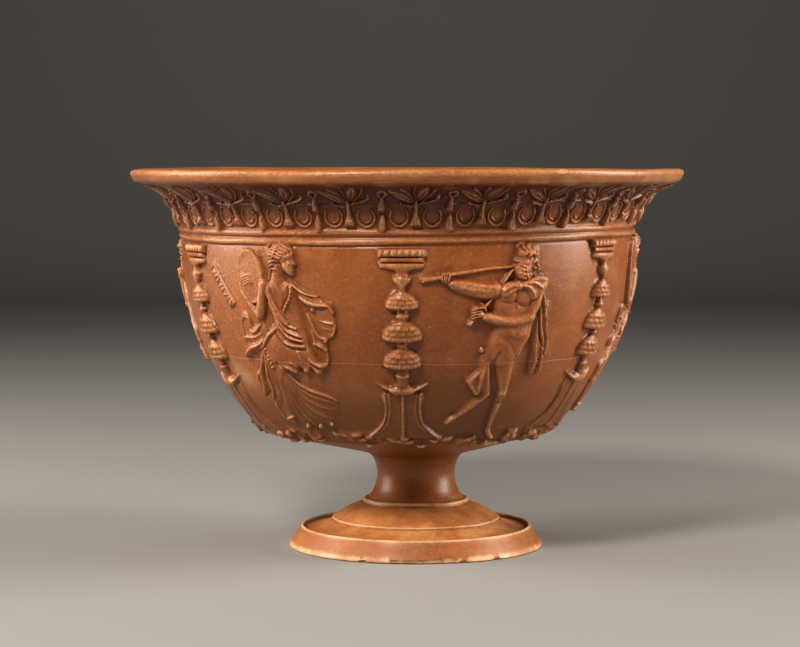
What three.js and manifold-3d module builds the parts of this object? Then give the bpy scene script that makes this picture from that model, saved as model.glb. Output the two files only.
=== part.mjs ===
// Footed bowl of fired clay under a red slip, with relief pressed in a stamped mould:
// dancers and pipers in turn between tall lampstands, below an egg-and-tongue band and a
// garland of leaves. The bowl and its foot were joined wet and fired as one body.
// Millimetres, +Z up. The origin is on the bowl's axis, on the plane that the foot stands on.
// An angle of 0 around the bowl faces -Y, and angles grow towards +X.
import * as THREE from "three";
import { mergeVertices } from "three/addons/utils/BufferGeometryUtils.js";
import Module from "manifold-3d";

const wasm = await Module();
wasm.setup();

// Driving dimensions of the bowl, its lip and its wall, an ellipse from the sharp turn upwards
const HEIGHT = 143.2;
const LIP_RADIUS = 104.2;
const LIP_FACE = 4.8;
const WALL_RADIUS = 85;
const WALL_TOP = 118;
const WALL_SWEEP = 96;
const WALL_FOOT = 44.5;
const WALL_THICKNESS = 5;
const FLOOR_HEIGHT = 46.5;
const UNDERSIDE_LOW = 31;
const RIDGE_RISE = 0.9;
const BOWL_FACETS = 36;

// Driving dimensions of the foot, which was luted on a little to one side of the bowl's axis
const FOOT_RADIUS = 48.2;
const FOOT_EDGE = 7.4;
const FOOT_RING = 6.7;
const FOOT_HOLLOW = 21;
const FOOT_SHIFT = 3.4;
const STEM_RADIUS = 14.8;
const STEM_TOP = 36;
const FOOT_FACETS = 28;

// Counts of the stamped ornament, and the places of the stamps around the bowl in degrees. The
// lampstands were set by eye, so they aren't quite evenly spaced.
const EGG_PAIRS = 24;
const ROCKS = 8;
const FIGURE_PAIRS = 3;
const DANCER_START = -33;
const PIPER_START = 25;
const LAMPSTAND_ANGLES = [-61.5, -1.2, 54.5, 115.5, 176.5, 237.5];

// Stamped forms: sides of a limb and of a fold, how far a round and a blunt end are drawn out past
// the last ring, the share of its width that a fold loses by its end, how deep a form is set into
// the wall, and the share of its depth that its back keeps
const LIMB_SIDES = 6;
const FOLD_SIDES = 4;
const END_ROUND = 0.7;
const END_BLUNT = 0.05;
const FOLD_TAPER = 0.5;
const SINK = 0.9;
const BACK_SHARE = 0.3;

// Share of the wall's line that its direction is read over, and the gap that joins two corners
const LINE_STEP = 0.002;
const JOIN_GAP = 1e-4;

const CLAY_RED = 0xa85a34;

// The wall's outer line, from the sharp turn at its foot up to the underside of the lip
const wallLine = new THREE.CurvePath();
const wallStart = Math.asin((WALL_TOP - WALL_FOOT) / WALL_SWEEP);
wallLine.add(new THREE.EllipseCurve(0, WALL_TOP, WALL_RADIUS, WALL_SWEEP, -wallStart, 0));
wallLine.add(
  new THREE.SplineCurve([
    new THREE.Vector2(WALL_RADIUS, WALL_TOP),
    new THREE.Vector2(86.3, 125),
    new THREE.Vector2(89.7, 131.4),
    new THREE.Vector2(94.2, 135.6),
    new THREE.Vector2(LIP_RADIUS - 2, HEIGHT - LIP_FACE),
  ]),
);
const wallLength = wallLine.getLength();

// A point of the wall at the distance v up its outer line, moved out by w along its normal
function wallPoint(v, w = 0) {
  const share = THREE.MathUtils.clamp(v / wallLength, 0, 1);
  const below = wallLine.getPoint(Math.max(share - LINE_STEP, 0));
  const above = wallLine.getPoint(Math.min(share + LINE_STEP, 1));
  const along = above.sub(below).normalize();
  const point = wallLine.getPoint(share);
  return new THREE.Vector2(point.x + along.y * w, point.y - along.x * w);
}

function ring(radius, height) {
  return new THREE.Vector2(radius, height);
}

// A closed geometry as a solid, with the triangles that shrink to a line left out
function toSolid(geometry) {
  const bare = geometry.clone();
  bare.deleteAttribute("normal");
  bare.deleteAttribute("uv");
  const merged = mergeVertices(bare, JOIN_GAP);
  const corners = merged.index.array;
  const triangles = [];
  for (let i = 0; i < corners.length; i += 3) {
    const [a, b, c] = corners.slice(i, i + 3);
    if (a !== b && b !== c && c !== a) {
      triangles.push(a, b, c);
    }
  }
  const vertProperties = new Float32Array(merged.attributes.position.array);
  const triVerts = new Uint32Array(triangles);
  return new wasm.Manifold(new wasm.Mesh({ numProp: 3, vertProperties, triVerts }));
}

// The bowl, turned from its underside round the wall and the lip to the floor inside
function bowlBody() {
  const wallHeights = [0, 16, 32, 48, 64];
  const ridges = [
    [81.2, 0],
    [82.6, RIDGE_RISE],
    [84.3, 0.1],
    [85.8, RIDGE_RISE],
    [87.2, 0],
  ];
  const neckHeights = [97, 101, wallLength];
  const insideHeights = [95, 72, 48, 24];
  const section = [
    ring(0, UNDERSIDE_LOW),
    ...wallHeights.map((v) => wallPoint(v)),
    ...ridges.map(([v, rise]) => wallPoint(v, rise)),
    ...neckHeights.map((v) => wallPoint(v)),
    ring(LIP_RADIUS, HEIGHT - 0.6),
    ring(LIP_RADIUS - 2.2, HEIGHT),
    ring(LIP_RADIUS - 7.2, HEIGHT - 2.4),
    ...insideHeights.map((v) => wallPoint(v, -WALL_THICKNESS)),
    ring(38, FLOOR_HEIGHT + 2.6),
    ring(0, FLOOR_HEIGHT),
  ];
  const body = new THREE.LatheGeometry(section, BOWL_FACETS);
  body.rotateX(Math.PI / 2);
  return toSolid(body);
}

// The foot: hollow below, standing on a flat ring, stepped above, with a waisted stem
function footBody() {
  const section = [
    ring(0, FOOT_HOLLOW),
    ring(30, 6),
    ring(FOOT_RADIUS - FOOT_RING, 0),
    ring(FOOT_RADIUS, 0),
    ring(FOOT_RADIUS - 4.6, FOOT_EDGE),
    ring(41.2, FOOT_EDGE - 0.7),
    ring(32, 9.2),
    ring(31, 11.2),
    ring(25.7, 14),
    ring(18.8, 17.8),
    ring(16, 21.5),
    ring(STEM_RADIUS, 27),
    ring(18.4, STEM_TOP),
    ring(0, STEM_TOP + 2),
  ];
  const body = new THREE.LatheGeometry(section, FOOT_FACETS);
  body.rotateX(Math.PI / 2);
  body.translate(FOOT_SHIFT, 0, 0);
  return toSolid(body);
}

// Lays a form drawn flat, across u, up v and out w, on the wall around an angle in degrees.
function press(form, degrees) {
  const place = form.attributes.position;
  for (let i = 0; i < place.count; i += 1) {
    const middle = wallPoint(place.getY(i));
    const out = place.getZ(i) * (place.getZ(i) < 0 ? BACK_SHARE : 1);
    const spot = wallPoint(place.getY(i), out - SINK);
    const turn = THREE.MathUtils.degToRad(degrees) + place.getX(i) / middle.x;
    place.setXYZ(i, spot.x * Math.sin(turn), -spot.x * Math.cos(turn), spot.y);
  }
  return toSolid(form);
}

// A limb: a spindle bent along a line of points, with a half width at each of them. Its widest
// ring stands out by the rise and narrow rings by less, and it is wider where it is set in.
function limb(points, halfWidths, rise, sides = LIMB_SIDES, endRound = END_ROUND) {
  const line = new THREE.SplineCurve(points.map(([u, v]) => new THREE.Vector2(u, v)));
  const last = points.length - 1;
  const widest = Math.max(...halfWidths);
  const rises = halfWidths.map((half) => rise * Math.sqrt(half / widest));
  const form = new THREE.LatheGeometry(
    [ring(0, -1), ...halfWidths.map((_, i) => ring(1, i)), ring(0, last + 1)],
    sides,
  );
  const place = form.attributes.position;
  for (let i = 0; i < place.count; i += 1) {
    const step = THREE.MathUtils.clamp(place.getY(i), 0, last);
    const past = (place.getY(i) - step) * endRound * halfWidths[step];
    const half = halfWidths[step] * (1 + SINK / rises[step]);
    const middle = line.getPoint(step / last);
    const along = line.getTangent(step / last);
    const side = place.getX(i) * half;
    place.setXYZ(
      i,
      middle.x + along.x * past + along.y * side,
      middle.y + along.y * past - along.x * side,
      place.getZ(i) * (rises[step] + SINK),
    );
  }
  return form;
}

// A fold of cloth: a limb with a sharp back that runs out to a narrow end
function fold(points, width, rise) {
  const last = points.length - 1;
  const halfWidths = points.map((_, i) => (width / 2) * (1 - (FOLD_TAPER * i) / last));
  return limb(points, halfWidths, rise, FOLD_SIDES);
}

// A rounded lump, such as a head or a rock
function lump([u, v], [across, up, rise]) {
  const form = new THREE.IcosahedronGeometry(1);
  form.scale(across, up, rise + SINK);
  form.translate(u, v, 0);
  return form;
}

// A pointed leaf with a raised midrib
function leaf([u, v], length, width, rise, tilt = 0) {
  const form = new THREE.OctahedronGeometry(1);
  const spread = (1 + SINK / rise) / 2;
  form.scale(width * spread, length * spread, rise + SINK);
  form.rotateZ(THREE.MathUtils.degToRad(tilt));
  form.translate(u, v, 0);
  return form;
}

// The dancer, seen from behind with the head turned: a drum on the raised hand, a scarf that
// flies out on both sides, a short overfold and a long skirt
function dancer() {
  const shoulder = [-4.6, 66.4];
  const elbow = [-8.3, 55];
  const wrist = [-15.6, 63.6];
  const fingers = [-15.3, 69];
  const drum = new THREE.CylinderGeometry(1, 1, 2, 10);
  drum.rotateX(Math.PI / 2);
  drum.scale(6.3, 10, 0.9 + SINK);
  drum.translate(-11.3, 69.4, 0);
  const body = [
    lump([3.4, 75.4], [5, 6.2, 2.6]),
    limb([[1.6, 70], [2, 65], [3.4, 53], [0.5, 40]], [2, 5.8, 4.4, 8.2], 2.4),
    limb([shoulder, elbow, wrist, fingers], [2, 1.8, 1, 0.7], 2.6, FOLD_SIDES),
    limb([[-3, 40], [-7, 14]], [4, 2.2], 2.2, FOLD_SIDES),
  ];
  const cloth = [
    fold([[7, 66], [14, 61], [21.2, 57]], 3.6, 1.9),
    fold([[12, 56], [16, 45], [14, 34]], 7, 1.7),
    fold([[-8, 48], [-18.6, 50.5]], 3.4, 1.3),
    fold([[-7, 45.5], [-19.4, 39.4]], 3.4, 1.7),
    fold([[-8, 42], [-13.5, 22]], 5, 1.6),
    fold([[1, 32], [13.6, 22]], 5, 1.6),
    fold([[0, 30], [8.5, 11.5]], 6, 1.4),
  ];
  return [drum, ...body, ...cloth];
}

// The piper: a bearded figure with a skin cloak knotted at the neck, blowing two pipes
function piper() {
  const mouth = [0.4, 72.6];
  const farHand = [-24, 69];
  const nearHand = [-11.4, 57.4];
  const body = [
    lump([5.6, 76.2], [4.6, 5.8, 2.7]),
    leaf([4.2, 71], 5.6, 4.6, 2.2),
    limb([[4.6, 67], [3.8, 61.5], [2.5, 45]], [5, 7.4, 5], 2.4),
    limb([[-3, 65], farHand], [2.9, 1.4], 2.6, FOLD_SIDES),
    limb([[11, 64], [7, 55], nearHand], [2.6, 2.6, 1.6], 3.4, FOLD_SIDES),
    limb([[2, 46], [3.8, 27], [3.4, 9], [6.6, 4]], [3.8, 2.4, 1.3, 0.9], 2.7, FOLD_SIDES),
    limb([[-2, 46], [-4.4, 27], [-12.6, 14]], [3.6, 2.4, 1], 2.3, FOLD_SIDES),
  ];
  const pipes = [
    limb([mouth, [-31.4, 69]], [0.8, 1.3], 1.8, FOLD_SIDES),
    limb([mouth, [-13.6, 53.2]], [0.7, 0.9], 1.7, FOLD_SIDES),
  ];
  const cloak = fold([[13, 67], [17, 55], [16.6, 34]], 6, 1.7);
  return [...body, ...pipes, cloak];
}

// The lampstand: a turned shaft of three bells under a capital, on a waisted base with paw feet
function lampstand() {
  const shaft = [
    [7.4, 10],
    [5.4, 22],
    [8.4, 29.4],
    [2.4, 31],
    [2.4, 36.4],
    [6.6, 38.2],
    [1.7, 45.5],
    [7, 48.4],
    [1.9, 56],
    [5.8, 60],
    [1.6, 66],
    [2, 71.3],
    [7.8, 74.2],
    [7.8, 79.8],
  ];
  const heights = shaft.map(([, v]) => [0, v]);
  const halfWidths = shaft.map(([half]) => half);
  const paw = (u) => limb([[u * 0.5, 13], [u, 5]], [1.6, 1.7], 1.8, FOLD_SIDES);
  return [limb(heights, halfWidths, 2.6, FOLD_SIDES, END_BLUNT), paw(-12), paw(12)];
}

// One egg-and-tongue repeat with the leaves above it, drawn around the tassel's middle line
function eggRepeat() {
  const repeat = THREE.MathUtils.degToRad(360 / EGG_PAIRS) * WALL_RADIUS;
  return [
    leaf([0, 92], 8, 4.4, 1.2),
    leaf([repeat / 2, 91.2], 9.4, 3, 1.2),
    leaf([repeat / 4, 92], 7, 5.4, 1.3),
    leaf([-repeat / 4, 92], 7, 5.4, 1.3),
    leaf([repeat / 4, 105.4], 8.4, 4.4, 1.3, -25),
    leaf([-repeat / 4, 105.4], 8.4, 4.4, 1.3, 25),
  ];
}

// The tablet: a plain raised bar set aslant beside the first dancer
function tablet() {
  const low = new THREE.Vector2(-22.5, 58);
  const run = new THREE.Vector2(-33.5, 72.5).sub(low);
  const bar = new THREE.BoxGeometry(run.length(), 3.4, 2 * (0.7 + SINK), 3);
  bar.rotateZ(run.angle());
  bar.translate(low.x + run.x / 2, low.y + run.y / 2, 0);
  return bar;
}

// Rough ground along the foot of the wall, lump after lump of uneven size
function rock(index) {
  const size = 1 + 0.3 * Math.sin(index * 2.4) + 0.2 * Math.sin(index * 5.1);
  return lump([0, 3.6 + Math.sin(index * 1.7)], [4.4 * size, 2.4 * size, 1.4 * size]);
}

// Every stamp, pressed on the wall where it belongs
function reliefSolids() {
  const solids = [];
  const pressAll = (forms, degrees) => forms.forEach((form) => solids.push(press(form, degrees)));
  LAMPSTAND_ANGLES.forEach((degrees) => pressAll(lampstand(), degrees));
  for (let i = 0; i < FIGURE_PAIRS; i += 1) {
    const turn = (360 / FIGURE_PAIRS) * i;
    pressAll(dancer(), DANCER_START + turn);
    pressAll(piper(), PIPER_START + turn);
  }
  for (let i = 0; i < EGG_PAIRS; i += 1) {
    pressAll(eggRepeat(), (360 / EGG_PAIRS) * i);
  }
  for (let i = 0; i < ROCKS; i += 1) {
    pressAll([rock(i)], (360 / ROCKS) * i);
  }
  pressAll([tablet()], DANCER_START);
  return solids;
}

// The finished bowl: foot, bowl and relief joined as one closed geometry
function bowlGeometry() {
  const plain = bowlBody().add(footBody());
  const whole = reliefSolids().reduce((body, stamp) => body.add(stamp), plain);
  const mesh = whole.getMesh();
  const geometry = new THREE.BufferGeometry();
  geometry.setAttribute("position", new THREE.BufferAttribute(mesh.vertProperties, 3));
  geometry.setIndex(new THREE.BufferAttribute(mesh.triVerts, 1));
  geometry.computeVertexNormals();
  return geometry;
}

const redSlip = new THREE.MeshStandardMaterial({
  color: CLAY_RED,
  roughness: 0.42,
  metalness: 0,
});

const bowl = new THREE.Mesh(bowlGeometry(), redSlip);
bowl.name = "red_slip_bowl";

const part = new THREE.Group();
part.add(bowl);

export default part;
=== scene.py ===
import math

import bpy
import numpy as np
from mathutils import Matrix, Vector


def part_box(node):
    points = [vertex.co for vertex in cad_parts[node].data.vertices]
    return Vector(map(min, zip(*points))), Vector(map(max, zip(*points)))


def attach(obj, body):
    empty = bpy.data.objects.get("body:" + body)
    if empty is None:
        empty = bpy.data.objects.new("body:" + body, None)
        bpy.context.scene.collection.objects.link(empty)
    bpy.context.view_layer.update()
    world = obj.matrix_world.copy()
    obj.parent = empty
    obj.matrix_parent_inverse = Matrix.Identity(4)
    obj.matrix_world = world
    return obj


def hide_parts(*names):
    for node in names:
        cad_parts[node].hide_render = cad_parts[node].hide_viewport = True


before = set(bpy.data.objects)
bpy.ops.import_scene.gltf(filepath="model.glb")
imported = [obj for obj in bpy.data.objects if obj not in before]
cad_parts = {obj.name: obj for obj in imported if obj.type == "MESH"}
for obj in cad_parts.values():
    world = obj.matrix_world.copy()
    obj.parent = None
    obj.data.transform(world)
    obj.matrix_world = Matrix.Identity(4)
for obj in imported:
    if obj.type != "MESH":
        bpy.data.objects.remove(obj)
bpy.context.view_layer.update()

# The wall: red clay pressed by hand into a turned mould. It springs from a sharp turn above the
# stem, rises in a long curve and flares out under the lip. The relief is kept as a field of
# heights in millimetres, over rows up the wall and columns around it; angle 0 faces the front.
MM = 0.001
_, high_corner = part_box("red_slip_bowl")
HEIGHT = high_corner.z / MM
LIP_RADIUS = high_corner.x / MM
WALL_RADIUS = 85.0
WALL_TOP = 118.0
WALL_SWEEP = 96.0
WALL_FOOT = 44.5
LIP_FACE = 4.8
FLARE = [(WALL_RADIUS, WALL_TOP), (86.3, 125), (89.7, 131.4), (94.2, 135.6),
         (LIP_RADIUS - 2, HEIGHT - LIP_FACE)]
AROUND = 2048
ROW_STEP = 0.27
PANEL_MIDDLE = 45.0


def trace(points, closed=False, steps=6):
    """A smooth line through points, which may carry a half width as well as a place."""
    knots = np.array(points, float)
    if closed:
        knots = np.vstack([knots[-1], knots, knots[0], knots[1]])
    else:
        knots = np.vstack([2 * knots[0] - knots[1], knots, 2 * knots[-1] - knots[-2]])
    share = np.arange(steps)[:, None] / steps
    pieces = []
    for a, b, c, d in zip(knots, knots[1:], knots[2:], knots[3:]):
        bend = 2 * a - 5 * b + 4 * c - d
        twist = 3 * (b - c) + d - a
        pieces.append(b + 0.5 * share * (c - a + share * (bend + share * twist)))
    if not closed:
        pieces.append(knots[-2:-1])
    return np.vstack(pieces)


def spaced(line, step):
    """The same line with its points evenly spaced, about a step apart."""
    run = np.concatenate([[0], np.cumsum(np.hypot(*np.diff(line, axis=0).T))])
    stops = np.linspace(0, run[-1], max(2, round(run[-1] / step) + 1))
    return np.column_stack([np.interp(stops, run, line[:, 0]), np.interp(stops, run, line[:, 1])])


spring = math.asin((WALL_TOP - WALL_FOOT) / WALL_SWEEP)
sweep = np.linspace(-spring, 0, 240)
curve = np.column_stack([WALL_RADIUS * np.cos(sweep), WALL_TOP + WALL_SWEEP * np.sin(sweep)])
wall_line = spaced(np.vstack([curve[:-1], trace(FLARE, steps=24)]), ROW_STEP)
wall_slope = np.gradient(wall_line, axis=0)
wall_slope /= np.hypot(*wall_slope.T)[:, None]
RADII = wall_line[:, 0]
RUN = np.concatenate([[0], np.cumsum(np.hypot(*np.diff(wall_line, axis=0).T))])
TURN = np.linspace(-math.pi, math.pi, AROUND, endpoint=False)
relief = np.zeros((len(RUN), AROUND))


class Stamp:
    """A drawing board on the wall: u runs across from one angle and v up from the sharp turn."""

    def __init__(self, degrees, reach, lift=0.0, lean=0.0):
        turn = (TURN - math.radians(degrees) + math.pi) % (2 * math.pi) - math.pi
        near = np.nonzero(np.abs(turn) < reach / RADII[0])[0]
        self.columns = near[np.argsort(turn[near])]
        self.turn = turn[self.columns]
        self.lift = lift
        self.shift = lean * (RUN - lift - PANEL_MIDDLE)
        self.u = RADII[:, None] * self.turn + self.shift[:, None]
        self.v = np.repeat(RUN[:, None] - lift, len(self.turn), 1)
        self.height = np.zeros_like(self.u)

    def window(self, spots, margin):
        """The rows and columns that hold the spots, with a margin around them."""
        low, high = spots.min(0) - margin, spots.max(0) + margin
        rows = slice(*np.searchsorted(RUN - self.lift, (low[1], high[1])))
        left, right = ((side - self.shift[rows]) / RADII[rows] for side in (low[0], high[0]))
        return rows, slice(*np.searchsorted(self.turn, (left.min(initial=9), right.max(initial=-9))))

    def gap(self, spot, start, end):
        """How far each point lies from a stretch of line, and the share of it that is nearest."""
        run = end - start
        u, v = self.u[spot] - start[0], self.v[spot] - start[1]
        share = np.clip((u * run[0] + v * run[1]) / max(run @ run, 1e-9), 0, 1)
        return np.hypot(u - share * run[0], v - share * run[1]), share

    def strip(self, points):
        """The section of a strip: 1 along its widest middle line, 0 outside it."""
        path = trace(points)
        widest = path[:, 2].max()
        spot = self.window(path[:, :2], widest)
        section = np.zeros_like(self.u[spot])
        for start, end in zip(path, path[1:]):
            gap, share = self.gap(spot, start[:2], end[:2])
            half = np.maximum(start[2] + (end[2] - start[2]) * share, 0.05)
            np.maximum(section, (1 - (gap / half) ** 2) * np.sqrt(half / widest), out=section)
        return spot, section

    def oval(self, middle, halves, tilt):
        """The section of an oval mass: 1 in its middle, 0 outside it."""
        spot = self.window(np.array([middle]), max(halves))
        u, v = self.u[spot] - middle[0], self.v[spot] - middle[1]
        cosine, sine = math.cos(math.radians(tilt)), math.sin(math.radians(tilt))
        across, up = u * cosine + v * sine, v * cosine - u * sine
        return spot, np.maximum(0, 1 - (across / halves[0]) ** 2 - (up / halves[1]) ** 2)

    def cover(self, spot, section, rise, lift):
        """Keeps the higher of what is there and a rounded form that starts at the lift."""
        here = self.height[spot]
        form = lift + rise * section ** 0.7
        here[:] = np.where(section > 0, np.maximum(here, form), here)

    def lay(self, points, rise, lift=0.0):
        """A rounded strip through (u, v, half width) points: a limb, a stem or a thick fold."""
        self.cover(*self.strip(points), rise, lift)

    def dome(self, middle, halves, rise, tilt=0.0, lift=0.0):
        """A rounded mass: a head, a knee or a knot."""
        self.cover(*self.oval(middle, halves, tilt), rise, lift)

    def spread(self, outline, rise, edge, lift=0.0, steps=6):
        """A sheet with rounded edges: cloth, a chest or a drum."""
        path = trace(outline, closed=True, steps=steps)
        spot = self.window(path, ROW_STEP)
        inside = np.zeros(self.u[spot].shape, bool)
        nearest = np.full(inside.shape, np.inf)
        for start, end in zip(path, np.roll(path, -1, 0)):
            np.minimum(nearest, self.gap(spot, start, end)[0], out=nearest)
            if start[1] != end[1]:
                share = (self.v[spot] - start[1]) / (end[1] - start[1])
                left_of = self.u[spot] < start[0] + share * (end[0] - start[0])
                inside ^= ((start[1] <= self.v[spot]) != (end[1] <= self.v[spot])) & left_of
        slope = np.clip(nearest / edge, 0, 1)
        self.cover(spot, np.where(inside, slope * (2 - slope), 0), rise, lift)

    def crease(self, points, rise):
        """A soft ridge raised on what is there, or a furrow where the rise is below 0."""
        spot, section = self.strip(points)
        self.height[spot] += rise * section ** 1.5

    def dot(self, middle, halves, rise, tilt=0.0):
        """A soft bump raised on what is there, or a dimple where the rise is below 0."""
        spot, section = self.oval(middle, halves, tilt)
        self.height[spot] += rise * section ** 1.5

    def press(self):
        """Joins the finished stamp to the wall's relief."""
        relief[:, self.columns] = np.maximum(relief[:, self.columns], self.height)


# The lampstands: six turned lampstands that part the panels, each from the same stamp, set by
# eye and so not quite evenly. A shaft of three leafy bells stands on a waisted, three-footed
# base and carries a capital.
LAMPSTANDS = [(-64, 0, 0, 0.4), (-1.2, 0, 0, 1), (57, 2.4, 0.055, 0.5),
              (115.5, 2, 0, 0.8), (176.5, 1, 0, 0.9), (231.5, 0, 0, 0.7)]
LAMPSTAND_BASE = [(6.8, 26), (6.4, 19), (7.2, 13), (9.4, 9), (12.4, 4.6), (6, 4.4)]
LAMPSTAND_DISH = [(9.2, 30.2), (4.6, 28.8), (2.4, 29.6)]
DISH_UNDERSIDE = [(3.2, 25.9), (5.5, 27.6)]
SHAFT_PLAIN = 2.1
LEAF_ROWS = 3
LEAVES_AROUND = 7
BELLS = [(37.0, 7.2, 6.7, 2.2), (47.2, 7.2, 7.0, 1.8), (58.8, 6.2, 5.8, 1.7)]


def bell(bottom, tall, half, neck):
    """Stations (v, half width, rise) of one bell, from its sharp lower edge to its neck."""
    shares = [(0, 0.9, 2.7), (0.06, 0.99, 3.1), (0.2, 1, 3.2), (0.45, 0.92, 3.0), (0.7, 0.74, 2.6),
              (0.9, 0.46, 2.0)]
    stations = [(bottom + tall * up, half * wide, rise) for up, wide, rise in shares]
    return [(bottom - 0.1, neck, 1.3), *stations, (bottom + tall, 0.8 * neck, 1.4)]


def collar(bottom, half):
    """Stations of a thin ring around the shaft."""
    return [(bottom, half - 0.5, 1.8), (bottom + 0.3, half, 2.05), (bottom + 1, half, 2.05),
            (bottom + 1.3, half - 0.5, 1.8)]


def press_lampstand(degrees, lift, lean, base):
    """One lampstand; base is the share of its relief that the three-footed base still has."""
    stamp = Stamp(degrees, 18, lift, lean)
    level = RUN - lift
    mirrored = [(-u, v) for u, v in LAMPSTAND_BASE]
    stamp.spread([*LAMPSTAND_BASE, *mirrored[::-1]], 1.0, 1.2)
    stamp.lay([(0, 26, 1.0), (0, 16, 0.8), (0, 6, 0.9)], 1.9)
    for side in (-1, 1):
        rib = [(6.3, 26, 0.55), (5.9, 19, 0.5), (6.8, 13, 0.55), (9.0, 9, 0.65), (11.8, 5.6, 0.75)]
        stamp.lay([(side * u, v, half) for u, v, half in rib], 1.5)
        stamp.crease([(side * (u - 1.5), v, 0.4) for u, v, _ in rib[:4]], 0.35)
        stamp.dome((12.3 * side, 4.8), (1.9, 1.2), 1.3)
    stamp.dome((0.4, 5.2), (2.2, 1.6), 2.2)
    stamp.height *= base
    half_dish = [(0, 25.4), *DISH_UNDERSIDE, *LAMPSTAND_DISH]
    stamp.spread([*half_dish, *[(-u, v) for u, v in half_dish[:0:-1]]], 2.3, 1.7)
    shaft = [(29, 2.6, 1.9), (30.6, SHAFT_PLAIN, 1.8), *collar(32.8, 2.6), *bell(*BELLS[0])]
    shaft += [*collar(45, 1.9), *bell(*BELLS[1]), *collar(55.4, 2.3), *bell(*BELLS[2])]
    shaft += [(66, 1.2, 1.7), (67, 1.9, 2.0), (68.6, 3.1, 2.3), (69.6, 3.2, 2.3), (70, 2.4, 2.0),
              (71.5, 2.1, 1.8)]
    shaft += [(72.2, 3.0, 1.9), (72.8, 5.0, 2.0), (73.1, 7.4, 2.0), (73.6, 7.7, 2.3), (74.5, 7.7, 2.3),
              (74.8, 7.2, 1.9)]
    up, half, rise = np.array(shaft).T
    width = np.interp(level, up, half)[:, None]
    section = np.maximum(0, 1 - (stamp.u / width) ** 2)
    section[(level < up[0]) | (level > up[-1])] = 0
    step = 0.35
    stamp.cover(..., section, np.interp(level, up, rise)[:, None] - step, step)
    around = np.arcsin(np.clip(stamp.u / width, -1, 1))
    for bottom, tall, _, _ in BELLS:
        share = ((level - bottom - 0.4) / (tall - 1.4))[:, None]
        row = np.floor(LEAF_ROWS * share)
        up_leaf = LEAF_ROWS * share - row
        off_rib = 2 * ((LEAVES_AROUND * around / math.pi + 0.5 * row) % 1) - 1
        scale = 0.5 * (1 - up_leaf) * (1 - off_rib ** 2) - 0.14 * np.exp(-(off_rib / 0.2) ** 2)
        stamp.height += np.where((section > 0.02) & (share > 0) & (share < 1), scale - 0.1, 0)
    stamp.spread([(-7.3, 74.9), (7.3, 74.9), (7.3, 76.8), (-7.3, 76.8)], 1.6, 0.5, steps=1)
    stamp.spread([(-8.0, 76.9), (8.0, 76.9), (8.0, 79.7), (-8.0, 79.7)], 1.7, 0.5, steps=1)
    for tooth in np.linspace(-6.9, 6.9, 7):
        stamp.crease([(tooth, 79.2, 0.75), (tooth, 77.6, 0.75)], 0.45)
    stamp.crease([(-7.8, 77.1, 0.3), (7.8, 77.1, 0.3)], 0.35)
    stamp.press()


for degrees, lift, lean, base in LAMPSTANDS:
    press_lampstand(degrees, lift, lean, base)

# The dancers: three impressions of one stamp, seen from behind with the head turned to one side.
# A drum is held up on one hand, and a long scarf, a short overfold and a thin skirt fly out.
# Each fold is a ridge or a furrow that the stamp's carver cut.
DANCERS = [(-33, 0), (87, 2.1), (207, 0.6)]
DRUM = (-11.3, 69.2)
DRUM_HALVES = (6.4, 10.0)
DRUM_LEAN = 0.9
SCARF_SHEET = [(7.2, 66.6), (11, 64.1), (15.8, 63), (18.6, 61), (21.2, 59), (21.8, 55.5), (21.5, 52),
               (20.3, 48.3), (17.6, 46.3), (17, 43), (16.5, 40), (15.4, 36.8), (11, 36), (7, 42), (7, 56)]
FLUTTER_SHEET = [(-8, 51.6), (-11.6, 50.8), (-14, 51), (-14.9, 54), (-16.4, 55), (-18.4, 53.6),
                 (-19, 50.5), (-18.9, 47.4), (-19.4, 46.2), (-15.6, 44.8), (-18.6, 42), (-20.2, 38.6),
                 (-15, 40), (-11, 42.4), (-7, 43), (-6, 48)]
SKIRT_SHEET = [(-8, 45), (-11.4, 40), (-14.4, 34.5), (-18.2, 31.5), (-18, 27), (-17.2, 22.6), (-14.4, 18),
               (-13.2, 13.5), (-10, 10.6), (-7, 10.4), (-5, 20), (-4, 30), (0, 38)]
SKIRT_FAN = [(-9, 38), (0, 35), (3, 29.4), (8, 26.4), (14.8, 22.6), (13, 16), (9.4, 10.4), (2, 8.2),
             (-6, 8.6), (-10, 20)]
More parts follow.
